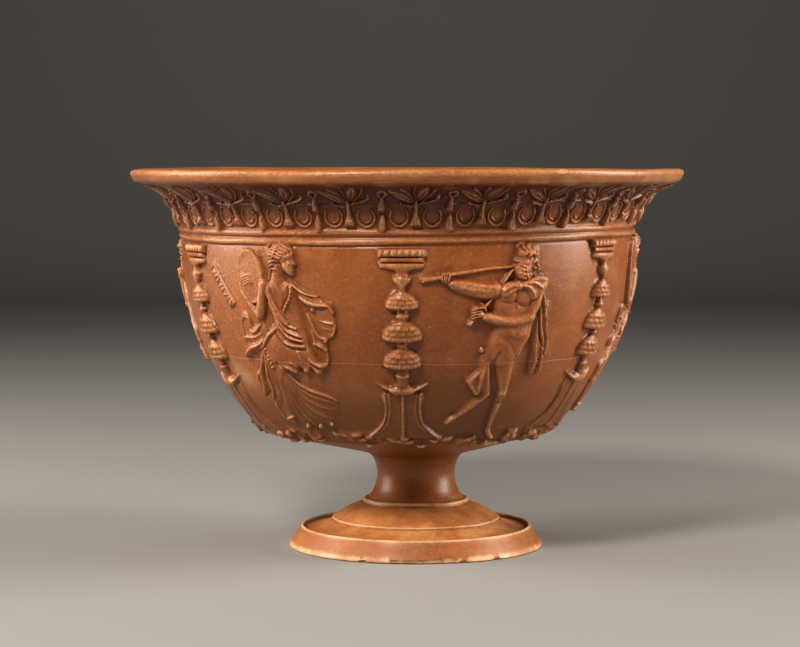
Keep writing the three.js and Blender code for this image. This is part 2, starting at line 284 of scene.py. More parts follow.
SKIRT_FOLDS = [
    (1.0, [(-10.4, 44, 0.9), (-12, 38.5, 1.1), (-14.3, 33.5, 1.2), (-14.6, 29.5, 1.1), (-15.4, 26, 1.0),
           (-17, 22.6, 0.7)]),
    (0.8, [(-9.4, 42, 0.8), (-10.4, 36, 1.0), (-11.6, 31, 1.0), (-11.2, 27, 0.9), (-12.6, 22, 0.7)]),
    (0.55, [(-8.6, 40, 0.7), (-9.2, 34, 0.8), (-9.6, 29, 0.8), (-9.2, 25, 0.7), (-10.8, 19, 0.6)]),
    (0.4, [(-7.6, 37, 0.6), (-8.0, 31, 0.7), (-8.0, 26, 0.6), (-9.4, 20, 0.5)]),
    (0.55, [(-16, 33, 0.9), (-17.4, 30, 1.0), (-16.6, 27.4, 0.9)]),
    (0.4, [(-12.5, 20, 0.8), (-12.6, 16, 0.8), (-11.6, 13, 0.6)]),
    (0.85, [(-1.6, 34.6, 0.25), (0.6, 31.2, 0.5), (2.6, 28.9, 0.7), (5.4, 27.0, 0.75), (9, 25.3, 0.7),
            (12, 23.9, 0.6), (14.6, 22.0, 0.3)]),
    (0.4, [(-2.2, 34.0, 0.2), (0.8, 28.6, 0.45), (4.2, 25.2, 0.6), (8.6, 23.0, 0.6), (14.2, 20.6, 0.3)]),
    (0.35, [(-2.6, 33.0, 0.2), (0.2, 26.8, 0.45), (3.4, 22.6, 0.6), (7.6, 19.8, 0.6), (13, 17.6, 0.3)]),
    (0.4, [(-3.0, 31.6, 0.2), (-0.6, 24.6, 0.5), (2.4, 19.4, 0.65), (6.2, 15.9, 0.65), (11, 13.4, 0.3)]),
    (0.35, [(-3.4, 30, 0.2), (-1.6, 22.6, 0.5), (0.6, 17, 0.6), (3.6, 12.8, 0.6), (7.6, 10.4, 0.3)]),
    (0.4, [(-4.0, 28, 0.2), (-2.8, 20, 0.5), (-1.2, 14, 0.6), (1.6, 10, 0.45)]),
    (0.35, [(-4.6, 26, 0.2), (-4.2, 18, 0.5), (-3.2, 12, 0.55), (-1.6, 9.2, 0.4)]),
    (-0.75, [(-11.2, 39, 0.7), (-12.9, 34.5, 1.0), (-13.2, 30.5, 1.0), (-12.2, 27.4, 0.7)]),
    (-0.45, [(-10, 30, 0.5), (-10.2, 27, 0.6), (-9.2, 25, 0.4)]),
    (-0.5, [(-11.4, 20.4, 0.5), (-11.0, 18, 0.6)]),
    (-0.5, [(-16.6, 22.6, 0.6), (-14.2, 24.2, 0.6), (-12.4, 25.6, 0.4)]),
]
OVERFOLD = [(-1.2, 51.6), (-5, 48.4), (-8.4, 44.4), (-7.9, 40), (-7.4, 38), (-5.4, 36.8), (-4.2, 37.4),
            (-3.4, 35.4), (-2, 35.2), (-1.2, 36.6), (0.4, 34.0), (2.6, 33.4), (4.0, 34.6), (5.0, 36.0),
            (6.2, 34.4), (8.0, 34.2), (9.2, 35.6), (10.6, 34.0), (12.4, 33.6), (13.6, 35.2), (15.4, 37.3),
            (13.4, 39.6), (11.4, 44), (10.6, 50), (8, 56), (0, 56)]
DANCER_BACK = [(-5.6, 66.0), (-4.6, 62.6), (-3.2, 58), (-1.9, 54.5), (-1.2, 52), (0.4, 49), (4, 45.6),
               (9, 45.4), (10.6, 52), (10, 58), (9, 63), (7.6, 66.2), (4.6, 68.3), (-2.6, 68.1)]
DANCER_FACE = [(7.7, 78.2), (8.3, 76.4), (8.3, 75.7), (9.3, 73.9), (8.6, 73.3), (8.9, 72.8), (8.5, 72.4),
               (8.7, 71.9), (8.3, 71.3), (8.2, 70.3), (7.0, 69.6), (4.8, 70.6), (3.2, 72.4), (2.6, 75),
               (3.6, 78.4)]
OVERFOLD_FOLDS = [
    (1.0, [(-0.7, 36.9, 0.7), (1.4, 36.2, 0.9), (3.0, 34.9, 1.0), (3.9, 33.3, 0.8)]),
    (0.9, [(9.8, 39.9, 0.6), (11.6, 38.3, 0.8), (13.2, 37.6, 0.85), (15.3, 37.5, 0.6)]),
    (-0.5, [(9.8, 38.3, 0.6), (11.8, 36.8, 0.7), (14, 36.2, 0.6)]),
    (0.4, [(5.6, 43.5, 0.5), (6.3, 41.5, 0.6), (6.8, 39, 0.5)]),
    (0.45, [(2.0, 38.6, 0.5), (3.6, 37.6, 0.5), (5.0, 36.2, 0.4)]),
]
BACK_FOLDS = [
    (0.9, [(-2.5, 66.4, 0.45), (-1.4, 62.8, 0.55), (0.1, 59.5, 0.55), (1.9, 56.4, 0.55),
           (4.4, 53.2, 0.45)]),
    (0.8, [(-3.6, 64.5, 0.4), (-1.4, 59.5, 0.5), (0.6, 54.8, 0.6), (3.7, 50.6, 0.65), (8.8, 48.4, 0.5)]),
    (0.9, [(-3.0, 60.6, 0.4), (-1.1, 54.8, 0.5), (1.6, 50.3, 0.65), (4.4, 48.0, 0.7), (8.8, 46.8, 0.5)]),
    (1.0, [(-3.2, 57.5, 0.4), (-1.9, 52.8, 0.5), (0.7, 48.2, 0.65), (3.8, 45.6, 0.75),
           (9.0, 44.8, 0.55)]),
    (0.7, [(0.9, 56.6, 0.4), (2.4, 54.2, 0.5), (5.0, 52.2, 0.5), (7.4, 51.4, 0.4)]),
    (-0.7, [(-1.6, 50.4, 0.5), (0.8, 46.0, 0.6), (4.4, 43.7, 0.65), (9.4, 43.6, 0.5)]),
    (0.85, [(6.6, 67.2, 0.5), (7.0, 64.6, 0.6), (6.4, 62.2, 0.6), (4.9, 60.0, 0.6), (3.7, 57.6, 0.5)]),
    (-0.6, [(5.6, 66.4, 0.4), (5.8, 64.4, 0.5), (5.1, 62.3, 0.5), (3.6, 60.2, 0.5), (2.6, 58, 0.4)]),
    (-0.5, [(1.6, 53.6, 0.35), (3.9, 51.6, 0.5), (7.4, 50.0, 0.4)]),
    (-0.6, [(0.6, 52.4, 0.35), (3.6, 49.2, 0.5), (8.2, 47.5, 0.4)]),
    (-0.6, [(-0.4, 50.4, 0.4), (2.6, 47.0, 0.5), (8.4, 45.7, 0.4)]),
]
SCARF_ROLLS = [
    (1.5, [(7.0, 66.8, 0.7), (9, 65.2, 0.8), (11, 64, 0.75), (13.6, 63.2, 0.6), (16.4, 62.7, 0.35)]),
    (2.2, [(9.8, 62.6, 0.8), (11.8, 61.2, 1.3), (14.4, 60.1, 1.25), (17.4, 59.8, 1.0), (20, 59.5, 0.8),
           (21.5, 57, 0.55)]),
    (1.5, [(11.7, 56.4, 0.5), (13, 53.2, 0.75), (14, 50, 0.75), (15.2, 48.1, 0.75), (17.5, 47.3, 0.6)]),
    (1.3, [(15.6, 54.2, 0.4), (18.6, 53.4, 0.7), (21.2, 52.8, 0.6), (21.0, 50.6, 0.5),
           (19.8, 48.6, 0.45)]),
    (1.9, [(12.6, 45.8, 0.6), (14.8, 44.8, 0.95), (16.6, 43.4, 0.7)]),
    (1.2, [(16.7, 43.2, 0.4), (16.5, 40.4, 0.5), (15.4, 37.2, 0.5)]),
    (1.1, [(-14.3, 50.8, 0.4), (-14.8, 53.2, 0.45), (-16.2, 54.6, 0.5), (-18, 53.5, 0.45),
           (-18.9, 50.4, 0.4), (-18.6, 47.4, 0.35)]),
    (1.5, [(-9.4, 51.4, 0.4), (-11.0, 50.0, 0.55), (-13.2, 48.9, 0.5), (-14.6, 49.6, 0.35)]),
    (1.0, [(-9.6, 48.4, 0.4), (-12.4, 47.0, 0.5), (-15.6, 46.5, 0.5), (-19.2, 46.8, 0.5)]),
    (1.9, [(-9.2, 45.6, 0.5), (-12.4, 43.9, 0.85), (-16, 42.7, 1.1), (-18.4, 40.9, 1.1),
           (-20, 38.9, 0.5)]),
]
SCARF_HOLLOWS = [((12.4, 57.2), (1.8, 1.3), -20), ((17.6, 58.2), (1.6, 0.8), 0),
                 ((-14.8, 40.6), (1.8, 0.9), 25)]


def press_dancer(degrees, lift):
    """One dancer, from the drum and the loose cloth up to the head."""
    stamp = Stamp(degrees, 24, lift)
    turns = np.linspace(0, 2 * math.pi, 16, endpoint=False)
    drum = [(DRUM[0] + DRUM_HALVES[0] * math.cos(turn) - DRUM_LEAN * math.sin(turn),
             DRUM[1] + DRUM_HALVES[1] * math.sin(turn)) for turn in turns]
    hoop = [(0.9 * u + 0.1 * DRUM[0], 0.93 * v + 0.07 * DRUM[1], 0.5) for u, v in drum]
    stamp.spread(drum, 1.25, 0.6)
    stamp.crease(hoop + hoop[:1], 0.22)
    stamp.spread(SCARF_SHEET, 0.75, 0.8)
    stamp.spread(FLUTTER_SHEET, 0.6, 0.7)
    stamp.spread(SKIRT_SHEET, 0.8, 1.0)
    stamp.spread(SKIRT_FAN, 0.6, 6.0)
    stamp.crease([(-3, 39, 7), (-4.6, 29, 6), (-6.4, 20, 4.4), (-7.6, 12, 3)], 0.75)
    stamp.crease([(1, 35, 7), (4, 26, 7), (7, 18, 6), (9, 12, 4)], 0.6)
    stamp.lay([(-6.4, 14.2, 0.7), (-8.2, 13.6, 0.9), (-10, 12.8, 0.6)], 2.0)
    for rise, line in SKIRT_FOLDS:
        stamp.crease(line, rise)
    for curl in ((-2.0, 9.6), (3.6, 9.9), (8.8, 11.4)):
        stamp.dome(curl, (1.0, 1.3), 1.9, -25)
    stamp.spread(OVERFOLD, 1.9, 1.5)
    stamp.dot((-0.2, 42), (8.2, 8.4), 0.9)
    stamp.spread(DANCER_BACK, 2.3, 3.2)
    stamp.lay([(1.5, 72.6, 2.6), (0.9, 69.4, 3.1), (0.9, 66.0, 4.6)], 2.55)
    stamp.lay([(-0.9, 51.4, 0.9), (-3, 49.9, 1.15), (-5.6, 48, 1.25), (-8.5, 44.2, 1.1)], 2.8)
    for pleat in range(7):
        u, v = -1.6 - 0.98 * pleat, 50.9 - 0.62 * pleat - 0.03 * pleat ** 2
        stamp.crease([(u - 0.35, v + 0.9, 0.28), (u + 0.35, v - 0.9, 0.28)], -0.35)
    for ruffle in range(6):
        stamp.dot((-7.9 + 0.48 * max(0, ruffle - 3), 43.2 - 1.45 * ruffle), (0.85, 0.65), 0.85)
    for rise, line in OVERFOLD_FOLDS:
        stamp.crease(line, rise)
    stamp.dot((1.4, 34.6), (1.1, 0.8), -0.9, 30)
    for lobe in ((-2.7, 36.2), (7.1, 35.3), (11.6, 34.8)):
        stamp.dot(lobe, (1.0, 1.1), 0.5)
    for notch in ((-4.2, 37.6), (5.0, 36.3), (9.3, 36.0)):
        stamp.dot(notch, (0.6, 1.3), -0.7)
    for rise, line in BACK_FOLDS:
        stamp.crease(line, rise)
    for share in np.linspace(0, 1, 7):
        stamp.dot((7.1 - 3.3 * share ** 2, 65.4 - 7.4 * share), (0.7, 0.5), 0.55)
    stamp.dome((-5.2, 66.4), (2.3, 2.1), 2.7, lift=0.2)
    stamp.lay([(-4.9, 66.8, 2.0), (-6.2, 62, 2.1), (-7.4, 57.6, 2.05), (-8.2, 55.4, 1.75)], 2.7, lift=0.3)
    stamp.lay([(-8.3, 55.4, 1.75), (-10.7, 57.6, 1.4), (-13.6, 61.2, 1.1), (-15.5, 63.9, 0.9)], 1.8,
              lift=0.3)
    stamp.lay([(-15.6, 63.8, 0.85), (-15.9, 66.4, 0.8), (-15.3, 69.4, 0.5)], 1.5)
    for finger in range(4):
        palm = (-15.0 + 0.2 * finger, 68.8 - 0.9 * finger, 0.3)
        joint = (-12.6 + 0.4 * finger, 69.6 - 0.75 * finger, 0.32)
        tip = (-10.4 + 0.3 * finger, 69.2 - 0.7 * finger, 0.22)
        stamp.crease([palm, joint, tip], 0.28)
    for rise, line in SCARF_ROLLS:
        stamp.lay(line, rise)
    stamp.dome((14.2, 58.2), (1.15, 1.0), 2.2)
    stamp.dome((17.0, 46.6), (1.0, 0.8), 1.6, 20)
    for hollow, halves, tilt in SCARF_HOLLOWS:
        stamp.dot(hollow, halves, -0.45, tilt)
    stamp.crease([(16.6, 51.6, 0.4), (18.6, 51.0, 0.5), (20.4, 50.6, 0.4)], 0.35)
    stamp.crease([(12.6, 50, 0.7), (12.8, 46, 0.8), (12.2, 42, 0.6)], 0.5)
    stamp.spread(DANCER_FACE, 2.5, 2.4)
    stamp.dot((6.9, 75.5), (1.1, 0.65), -0.42)
    stamp.crease([(8.0, 76.2, 0.4), (8.5, 75.0, 0.5), (8.8, 73.9, 0.55)], 0.4)
    stamp.crease([(7.9, 72.6, 0.25), (8.4, 72.45, 0.28), (8.9, 72.5, 0.25)], -0.3)
    stamp.dot((5.8, 73.4), (1.5, 1.2), 0.35)
    stamp.dome((2.7, 77.5), (5.5, 4.0), 2.7, 8)
    stamp.dome((-0.6, 74.6), (2.4, 3.1), 2.5)
    for lock in range(5):
        reach = lock / 4
        wave = [(8.0 - 4.2 * reach, 77.5 - 2.6 * reach), (7.1 - 3.4 * reach, 79.3 - 3.2 * reach),
                (5.2 - 2.6 * reach, 80.2 - 4.1 * reach), (3.4 - 2.0 * reach, 81.3 - 4.4 * reach),
                (1.2 - 1.2 * reach, 80.5 - 4.4 * reach), (-0.4 - 0.9 * reach, 80.3 - 4.2 * reach),
                (-2.2 - 0.4 * reach, 78.6 - 3.6 * reach)]
        stamp.crease([(*spot, 0.5) for spot in wave], 0.6)
        for spot in wave[1::2]:
            stamp.dot(spot, (0.6, 0.45), 0.35)
    for lock in range(3):
        stamp.crease([(2.2 - 0.3 * lock, 74.7 - 1.2 * lock, 0.45),
                      (0.2 - 0.2 * lock, 75.0 - 1.3 * lock, 0.5),
                      (-2.2, 73.6 - 1.1 * lock, 0.45)], 0.55)
    for twist in range(5):
        stamp.dome((-1.0 - 0.22 * twist, 71.9 - 0.85 * twist), (0.65, 0.5), 2.5, 35)
    stamp.dome((-2.0, 80.2), (0.8, 0.8), 1.7)
    stamp.press()


for degrees, lift in DANCERS:
    press_dancer(degrees, lift)

# The pipers: three impressions of a bearded figure with a skin cloak knotted at the neck, striding
# and blowing two pipes, one held out level and one down. The nearer arm is the highest relief.
PIPERS = [(25, 0), (145, 1.6), (258, 0)]
CLOAK = [(12, 68.6), (14, 64.8), (15.2, 61), (17.3, 59.6), (17, 56), (17.8, 52.6), (18.4, 49),
         (19.7, 45.6), (19.1, 41.6), (18.5, 39), (18.8, 36), (18, 33), (16.3, 33), (15.6, 35),
         (14.8, 32.4), (13, 33.2), (12.3, 37), (12, 44), (10.4, 52), (9, 62)]
CLOAK_FOLDS = [
    (0.8, [(13.2, 66, 0.7), (14.4, 61, 0.8), (15.6, 56, 0.8), (16.4, 51, 0.8), (18.2, 46, 0.7),
           (18.2, 41, 0.6)]),
    (0.7, [(12.2, 62, 0.6), (13.2, 56, 0.8), (14.2, 51, 0.8), (16.2, 46, 0.7), (17, 41, 0.6)]),
    (0.7, [(12.2, 55, 0.6), (12.8, 49, 0.7), (13.6, 43, 0.7), (14.6, 38, 0.6)]),
    (0.8, [(17.2, 40, 0.7), (17.4, 37, 0.8), (17.4, 34, 0.8)]),
    (0.9, [(14.6, 39, 0.7), (14.4, 36, 0.9), (14.2, 33.6, 0.8)]),
    (-0.7, [(12.2, 60, 0.5), (12.5, 55, 0.6), (13.6, 50.4, 0.6), (15.0, 46.8, 0.6), (16.8, 43.6, 0.4)]),
    (-0.45, [(15.6, 59.4, 0.4), (15.6, 55, 0.5), (16.4, 50, 0.5), (17.6, 46.6, 0.4)]),
    (-0.7, [(15.8, 39, 0.4), (15.9, 36, 0.5)]),
]
SKIN_FOLD = [(-5.4, 39), (-7.6, 35.4), (-11, 31.6), (-10.2, 29), (-8.2, 26.4), (-6.6, 24.6), (-4.6, 26),
             (-3.6, 32)]
PIPER_TORSO = [(-3.6, 67), (-5.8, 62.4), (-5.2, 57), (-5.0, 51), (-5.8, 46), (-5.6, 40), (-2.4, 37),
               (2.4, 34), (5.6, 38), (8.8, 43.4), (10.8, 48), (11.2, 54), (12.6, 60), (13.4, 65.4),
               (9, 68.4), (3, 68.8)]
PIPER_FACE = [(2.9, 79), (2.3, 77.3), (2.5, 76.7), (1.2, 75.1), (1.9, 74.5), (1.6, 73.6), (1.9, 71.2),
              (3.2, 69.4), (6.2, 70), (8.4, 73), (8.8, 76), (7.2, 79)]
TORSO_LINES = [
    (-0.3, [(-4, 62.2, 0.6), (-1.8, 60.9, 0.8), (0.8, 61.0, 0.6), (2.0, 61.8, 0.5)]),
    (-0.3, [(2.0, 61.6, 0.5), (4.0, 59.8, 0.8), (6.4, 59.8, 0.8), (8.6, 61.2, 0.6)]),
    (-0.2, [(2.0, 66.4, 0.4), (1.8, 62.4, 0.5), (1.8, 59, 0.4)]),
    (-0.22, [(-2.4, 49.4, 0.9), (-0.4, 47.6, 1.2), (1.8, 46.0, 1.2), (3.4, 43.6, 1.0), (4.4, 42, 0.8)]),
    (-0.28, [(9.6, 47.6, 0.9), (8.0, 44.6, 1.1), (6.2, 42.6, 1.0), (5.0, 40.6, 0.7)]),
    (0.5, [(6.6, 43.4, 0.8), (6.2, 41.4, 0.9), (6.0, 39.6, 0.7)]),
    (-0.5, [(-1.6, 42.6, 1.0), (-2.8, 39, 1.2), (-1.8, 34.5, 1.2), (-0.4, 31, 1.0)]),
    (-0.3, [(-2.6, 58.0, 0.7), (-1.4, 55, 1.0), (-1.8, 51.6, 0.8)]),
    (-0.25, [(7.8, 58.0, 0.7), (8.4, 54, 0.9), (7.8, 50.4, 0.8)]),
    (0.3, [(0.6, 50.6, 1.4), (3.6, 49.2, 1.8), (7.0, 49.6, 1.4)]),
]
FAR_ARM = [(-23.6, 68.2), (-21.8, 69.1), (-16, 68.7), (-10, 67.6), (-5, 67.9), (-1.4, 66.6), (-2.4, 62.6),
           (-6, 61.6), (-10, 61.8), (-14, 62.6), (-18, 63.9), (-20.8, 65), (-22.8, 66.6)]
LEFT_FLAP = [(-4.2, 64.4), (-3.4, 66.6), (-0.8, 68), (2.4, 67.8), (2.6, 66), (1.2, 64.4), (-1.0, 63.2),
             (-3, 62.8)]
RIGHT_FLAP = [(2.4, 67.6), (6, 68.6), (10, 69.8), (14, 69.4), (14.2, 66.4), (11.6, 64.2), (9.6, 61.8),
              (7.6, 61.6), (6.4, 63.2), (5.2, 65.4), (3.4, 65.8)]
FLAP_FOLDS = [
    (0.5, [(3.6, 67.0, 0.5), (6.2, 66.4, 0.6), (8.2, 64.4, 0.5), (9.0, 62.6, 0.4)]),
    (0.5, [(4.6, 67.8, 0.5), (8.4, 67.8, 0.6), (11.6, 66.0, 0.5)]),
    (0.6, [(5.4, 68.4, 0.45), (9, 69.1, 0.5), (13, 69.0, 0.4)]),
    (0.45, [(1.8, 67, 0.45), (-0.8, 66.8, 0.5), (-3.2, 65.2, 0.4)]),
    (0.45, [(1.6, 66, 0.4), (-0.6, 65.0, 0.45), (-2.6, 63.6, 0.4)]),
]
BEARD = [(1.5, 73.6), (1.2, 71.6), (2.4, 69.2), (4.6, 68.2), (6.8, 69.2), (7.8, 72), (7.4, 74.4),
         (5.4, 73.4), (3.2, 74.0)]
HAIR_LOCKS = [((3.9, 78.3), (2.9, 79.8), (3.8, 81.9)), ((5.0, 79.3), (4.3, 80.7), (5.5, 82.1)),
              ((6.7, 79.0), (6.2, 80.5), (7.7, 81.3)), ((8.4, 78.8), (8.4, 80.0), (9.7, 79.8)),
              ((6.3, 77.2), (7.4, 78.2), (8.7, 77.4)), ((8.8, 76.6), (9.7, 77.8), (10.8, 76.9)),
              ((8.3, 75.0), (9.6, 75.7), (10.6, 74.7)), ((4.5, 77.7), (5.6, 78.4), (6.6, 77.3))]
BEARD_LOCKS = [(2.3, 72.7), (3.7, 72.4), (5.1, 72.1), (6.6, 72.3), (2.5, 71.2), (3.9, 70.9), (5.3, 70.6),
               (6.7, 70.9), (3.3, 69.7), (4.7, 69.2), (6.0, 69.6)]


def press_piper(degrees, lift):
    """One piper, from the cloak and the legs up to the arms and the head."""
    stamp = Stamp(degrees, 34, lift)
    stamp.spread(CLOAK, 1.1, 1.0)
    for rise, line in CLOAK_FOLDS:
        stamp.crease(line, rise)
    stamp.spread(SKIN_FOLD, 1.7, 1.6)
    stamp.crease([(-6.4, 36.4, 0.6), (-8.6, 33.2, 0.8), (-10.2, 31, 0.7)], 0.35)
    stamp.crease([(-8.6, 29.6, 0.6), (-7.2, 26.8, 0.7), (-5.4, 25.4, 0.5)], 0.3)
    stamp.crease([(-7.4, 32.8, 0.7), (-6.6, 30.2, 0.8)], -0.3)
    stamp.crease([(-5.2, 37.6, 0.6), (-6.0, 33.6, 0.8), (-6.2, 29.4, 0.7), (-5.8, 26.6, 0.5)], 0.5)
    stamp.dome((-7.4, 43.0), (1.1, 1.2), 1.2)
    stamp.lay([(-2.4, 45, 3.0), (-4.4, 40, 3.2), (-4.2, 33, 2.8), (-2.8, 26.5, 2.4)], 1.7)
    stamp.lay([(-2.4, 25.4, 2.3), (-5.2, 21.8, 2.0), (-8.4, 18, 1.5), (-11.6, 14.6, 1.0)], 1.5)
    stamp.lay([(-11.4, 14.8, 1.0), (-12.8, 13.8, 1.1), (-13.6, 12.6, 0.9)], 1.6)
    stamp.lay([(1.6, 46.5, 4.6), (1.9, 40.5, 4.4), (3.0, 34, 3.4), (3.9, 28.5, 2.4), (4.1, 25, 2.0)], 2.6)
    stamp.lay([(4.0, 24.8, 1.8), (3.5, 19, 1.7), (3.2, 13, 1.3), (3.3, 8.6, 1.1)], 1.5)
    stamp.dot((4.0, 25.6), (1.9, 2.2), 0.5)
    stamp.dot((3.6, 21.6), (1.3, 1.1), -0.5)
    stamp.lay([(3.3, 8.6, 1.2), (4.6, 5.8, 1.3), (6.6, 3.7, 1.0)], 1.7)
    for toe in range(4):
        stamp.crease([(5.2 + 0.5 * toe, 4.0 - 0.2 * toe, 0.2), (6.2 + 0.4 * toe, 2.9 + 0.25 * toe, 0.22)],
                     -0.3)
    stamp.crease([(-3.2, 37.5, 0.9), (-1.8, 33, 1.3), (0.0, 29, 1.5), (2.0, 26.8, 1.1)], -0.8)
    stamp.spread(PIPER_TORSO, 2.5, 3.6)
    stamp.dot((-0.7, 63.2), (3.6, 2.9), 0.5, 10)
    stamp.dot((5.0, 62.7), (3.9, 3.2), 0.55, -6)
    stamp.dot((4.2, 50.6), (4.6, 3.6), 0.5)
    stamp.dot((3.6, 49.6), (0.6, 0.7), -0.4)
    for rise, line in TORSO_LINES:
        stamp.crease(line, rise)
    stamp.spread(FAR_ARM, 2.6, 3.0)
    stamp.crease([(-21.6, 68.2, 0.6), (-16, 67.9, 0.8), (-10, 66.9, 0.9), (-5, 66.4, 0.7)], 0.5)
    stamp.crease([(-19.6, 65.6, 0.8), (-14, 64.4, 1.2), (-8, 64.2, 1.0)], -0.25)
    stamp.dome((-5, 65), (3.4, 3.2), 2.9)
    stamp.lay([(0.8, 73.2, 0.5), (-8, 72.6, 0.58), (-16, 71.5, 0.75), (-23, 70.6, 0.9)], 1.5)
    stamp.lay([(-24, 69.9, 0.95), (-28, 69.3, 1.0), (-31.4, 68.9, 1.25)], 1.9)
    stamp.dot((-31.4, 68.9), (0.7, 0.8), -0.9)
    stamp.lay([(0.8, 72.2, 0.45), (-3, 67.2, 0.5), (-8, 60.2, 0.55), (-10.5, 57.2, 0.6),
               (-13, 53.8, 0.8)], 1.5, lift=0.3)
    stamp.dome((-13.5, 53.2), (1.1, 1.2), 2.0, -30)
    stamp.dot((-13.9, 52.6), (0.55, 0.55), -0.7)
    stamp.dome((-23.4, 69.3), (1.7, 2.0), 2.2, 10)
    for finger in range(4):
        knuckle = (-22.4 - 0.8 * finger, 69.8 - 0.1 * finger, 0.45)
        stamp.lay([(-22.2 - 0.78 * finger, 71.4 - 0.1 * finger, 0.42), knuckle,
                   (-22.6 - 0.72 * finger, 68.4, 0.38)], 2.5)
    stamp.dome((11.3, 65.4), (2.9, 2.9), 3.0, lift=0.4)
    stamp.lay([(11.3, 65.2, 2.6), (10.2, 60.6, 2.8), (8.4, 56.6, 2.7)], 3.0, lift=0.5)
    stamp.lay([(8.4, 55.9, 2.8), (3, 54.4, 2.7), (-3, 54.7, 2.3), (-8.4, 55.9, 1.7)], 3.1, lift=0.6)
    stamp.dome((-10.6, 57.0), (2.4, 1.9), 2.9, -22)
    for finger in range(4):
        knuckle = (-11.8 - 0.2 * finger, 59.2 - 1.05 * finger, 0.5)
        stamp.lay([(-10.0 - 0.15 * finger, 59.2 - 0.95 * finger, 0.45), knuckle,
                   (-13.2, 58.4 - finger, 0.42)], 2.9)
    stamp.lay([(-8.6, 58.2, 0.55), (-9.6, 59.8, 0.55), (-10.2, 60.6, 0.4)], 2.6)
    stamp.spread(LEFT_FLAP, 1.1, 1.2, lift=2.2)
    stamp.spread(RIGHT_FLAP, 1.1, 1.3, lift=2.3)
    stamp.dome((2.5, 66.8), (1.2, 1.5), 1.6, lift=2.4)
    for rise, line in FLAP_FOLDS:
        stamp.crease(line, rise)
    stamp.dome((6.3, 75.4), (4.0, 5.0), 2.9)
    stamp.lay([(5.4, 71, 2.4), (6.2, 68, 3.0)], 2.6)
    stamp.spread(PIPER_FACE, 2.9, 2.4)
    stamp.dot((3.6, 76.3), (1.2, 0.7), -0.5)
    stamp.crease([(2.3, 77.1, 0.4), (3.6, 77.4, 0.45), (5.0, 77.0, 0.4)], 0.3)
    stamp.crease([(2.6, 77.0, 0.35), (2.0, 75.9, 0.45), (1.7, 75.0, 0.5)], 0.5)
    stamp.dot((4.9, 74.9), (1.4, 1.1), 0.4)
    stamp.spread(BEARD, 2.9, 1.8)
    for lock in BEARD_LOCKS:
        stamp.dot(lock, (0.95, 0.8), 0.75, -35)
    stamp.crease([(1.3, 73.5, 0.35), (3.2, 74.1, 0.4), (5.2, 73.0, 0.35)], 0.4)
    stamp.dome((6.9, 77.7), (4.2, 3.7), 2.7, -14)
    for root, bend, tip in HAIR_LOCKS:
        stamp.crease([(*root, 0.75), (*bend, 0.85), (*tip, 0.65)], 0.9)
        stamp.dot((0.5 * (root[0] + tip[0]), 0.5 * (root[1] + tip[1])), (0.45, 0.4), -0.5)
    for side_lock in ((9.9, 74.4), (10.6, 73.2), (9.2, 72.8)):
        stamp.dome(side_lock, (1.0, 0.95), 2.5)
    stamp.press()


for degrees, lift in PIPERS:
    press_piper(degrees, lift)

# The tablet: a small raised bar set aslant beside the front dancer, pressed with a stamp of its
# own. A row of shallow strokes fills it.
TABLET_LOW = np.array([-22.5, 58.0])
TABLET_HIGH = np.array([-33.5, 72.5])
TABLET_HALF = 1.75
TABLET_STROKES = 9
tablet = Stamp(DANCERS[0][0], 38)
tablet_run = TABLET_HIGH - TABLET_LOW
tablet_side = np.array([-tablet_run[1], tablet_run[0]]) / np.hypot(*tablet_run) * TABLET_HALF
tablet_corners = [TABLET_LOW - tablet_side, TABLET_LOW + tablet_side, TABLET_HIGH + tablet_side,
                  TABLET_HIGH - tablet_side]
tablet.spread(tablet_corners, 0.7, 0.5, steps=1)
for stroke in range(TABLET_STROKES):
    middle = TABLET_LOW + tablet_run * (stroke + 0.6) / (TABLET_STROKES + 0.2)
    lean = 0.04 * tablet_run * ((stroke * 2) % 5 - 2) / 2
    top, bottom = middle + 0.62 * tablet_side + lean, middle - 0.62 * tablet_side - lean
    tablet.crease([(*top, 0.3), (*bottom, 0.3)], 0.45)
    if stroke % 3 != 1:
        tablet.crease([(*middle, 0.28), (*(middle + 0.05 * tablet_run), 0.28)], 0.4)
tablet.press()

# The egg-and-tongue band: twenty-four repeats of a fluted tassel, two eggs in looped borders and
# a long tongue, rolled into the mould with one wheel above two turned ridges.
EGG_PAIRS = 24
EGG_START = 2.0
BAND_TILT = 1.25
BAND_HIGHEST = 125
RIDGES = [(81.7, 1.35, 0.85, 0), (84.7, 1.4, 0.8, 2), (95.6, 0.35, 0.4, 5)]
REPEAT = 360 / EGG_PAIRS


def across(degrees, height):
    """The distance along the wall that an angle covers at one height."""
    return np.interp(height, RUN, RADII) * math.radians(degrees)


def band_lift(turn):
    """How much higher than at the left the bands run: they aren't quite level with the lip."""
    return BAND_TILT * (1 + np.sin(turn - math.radians(BAND_HIGHEST - 90)))


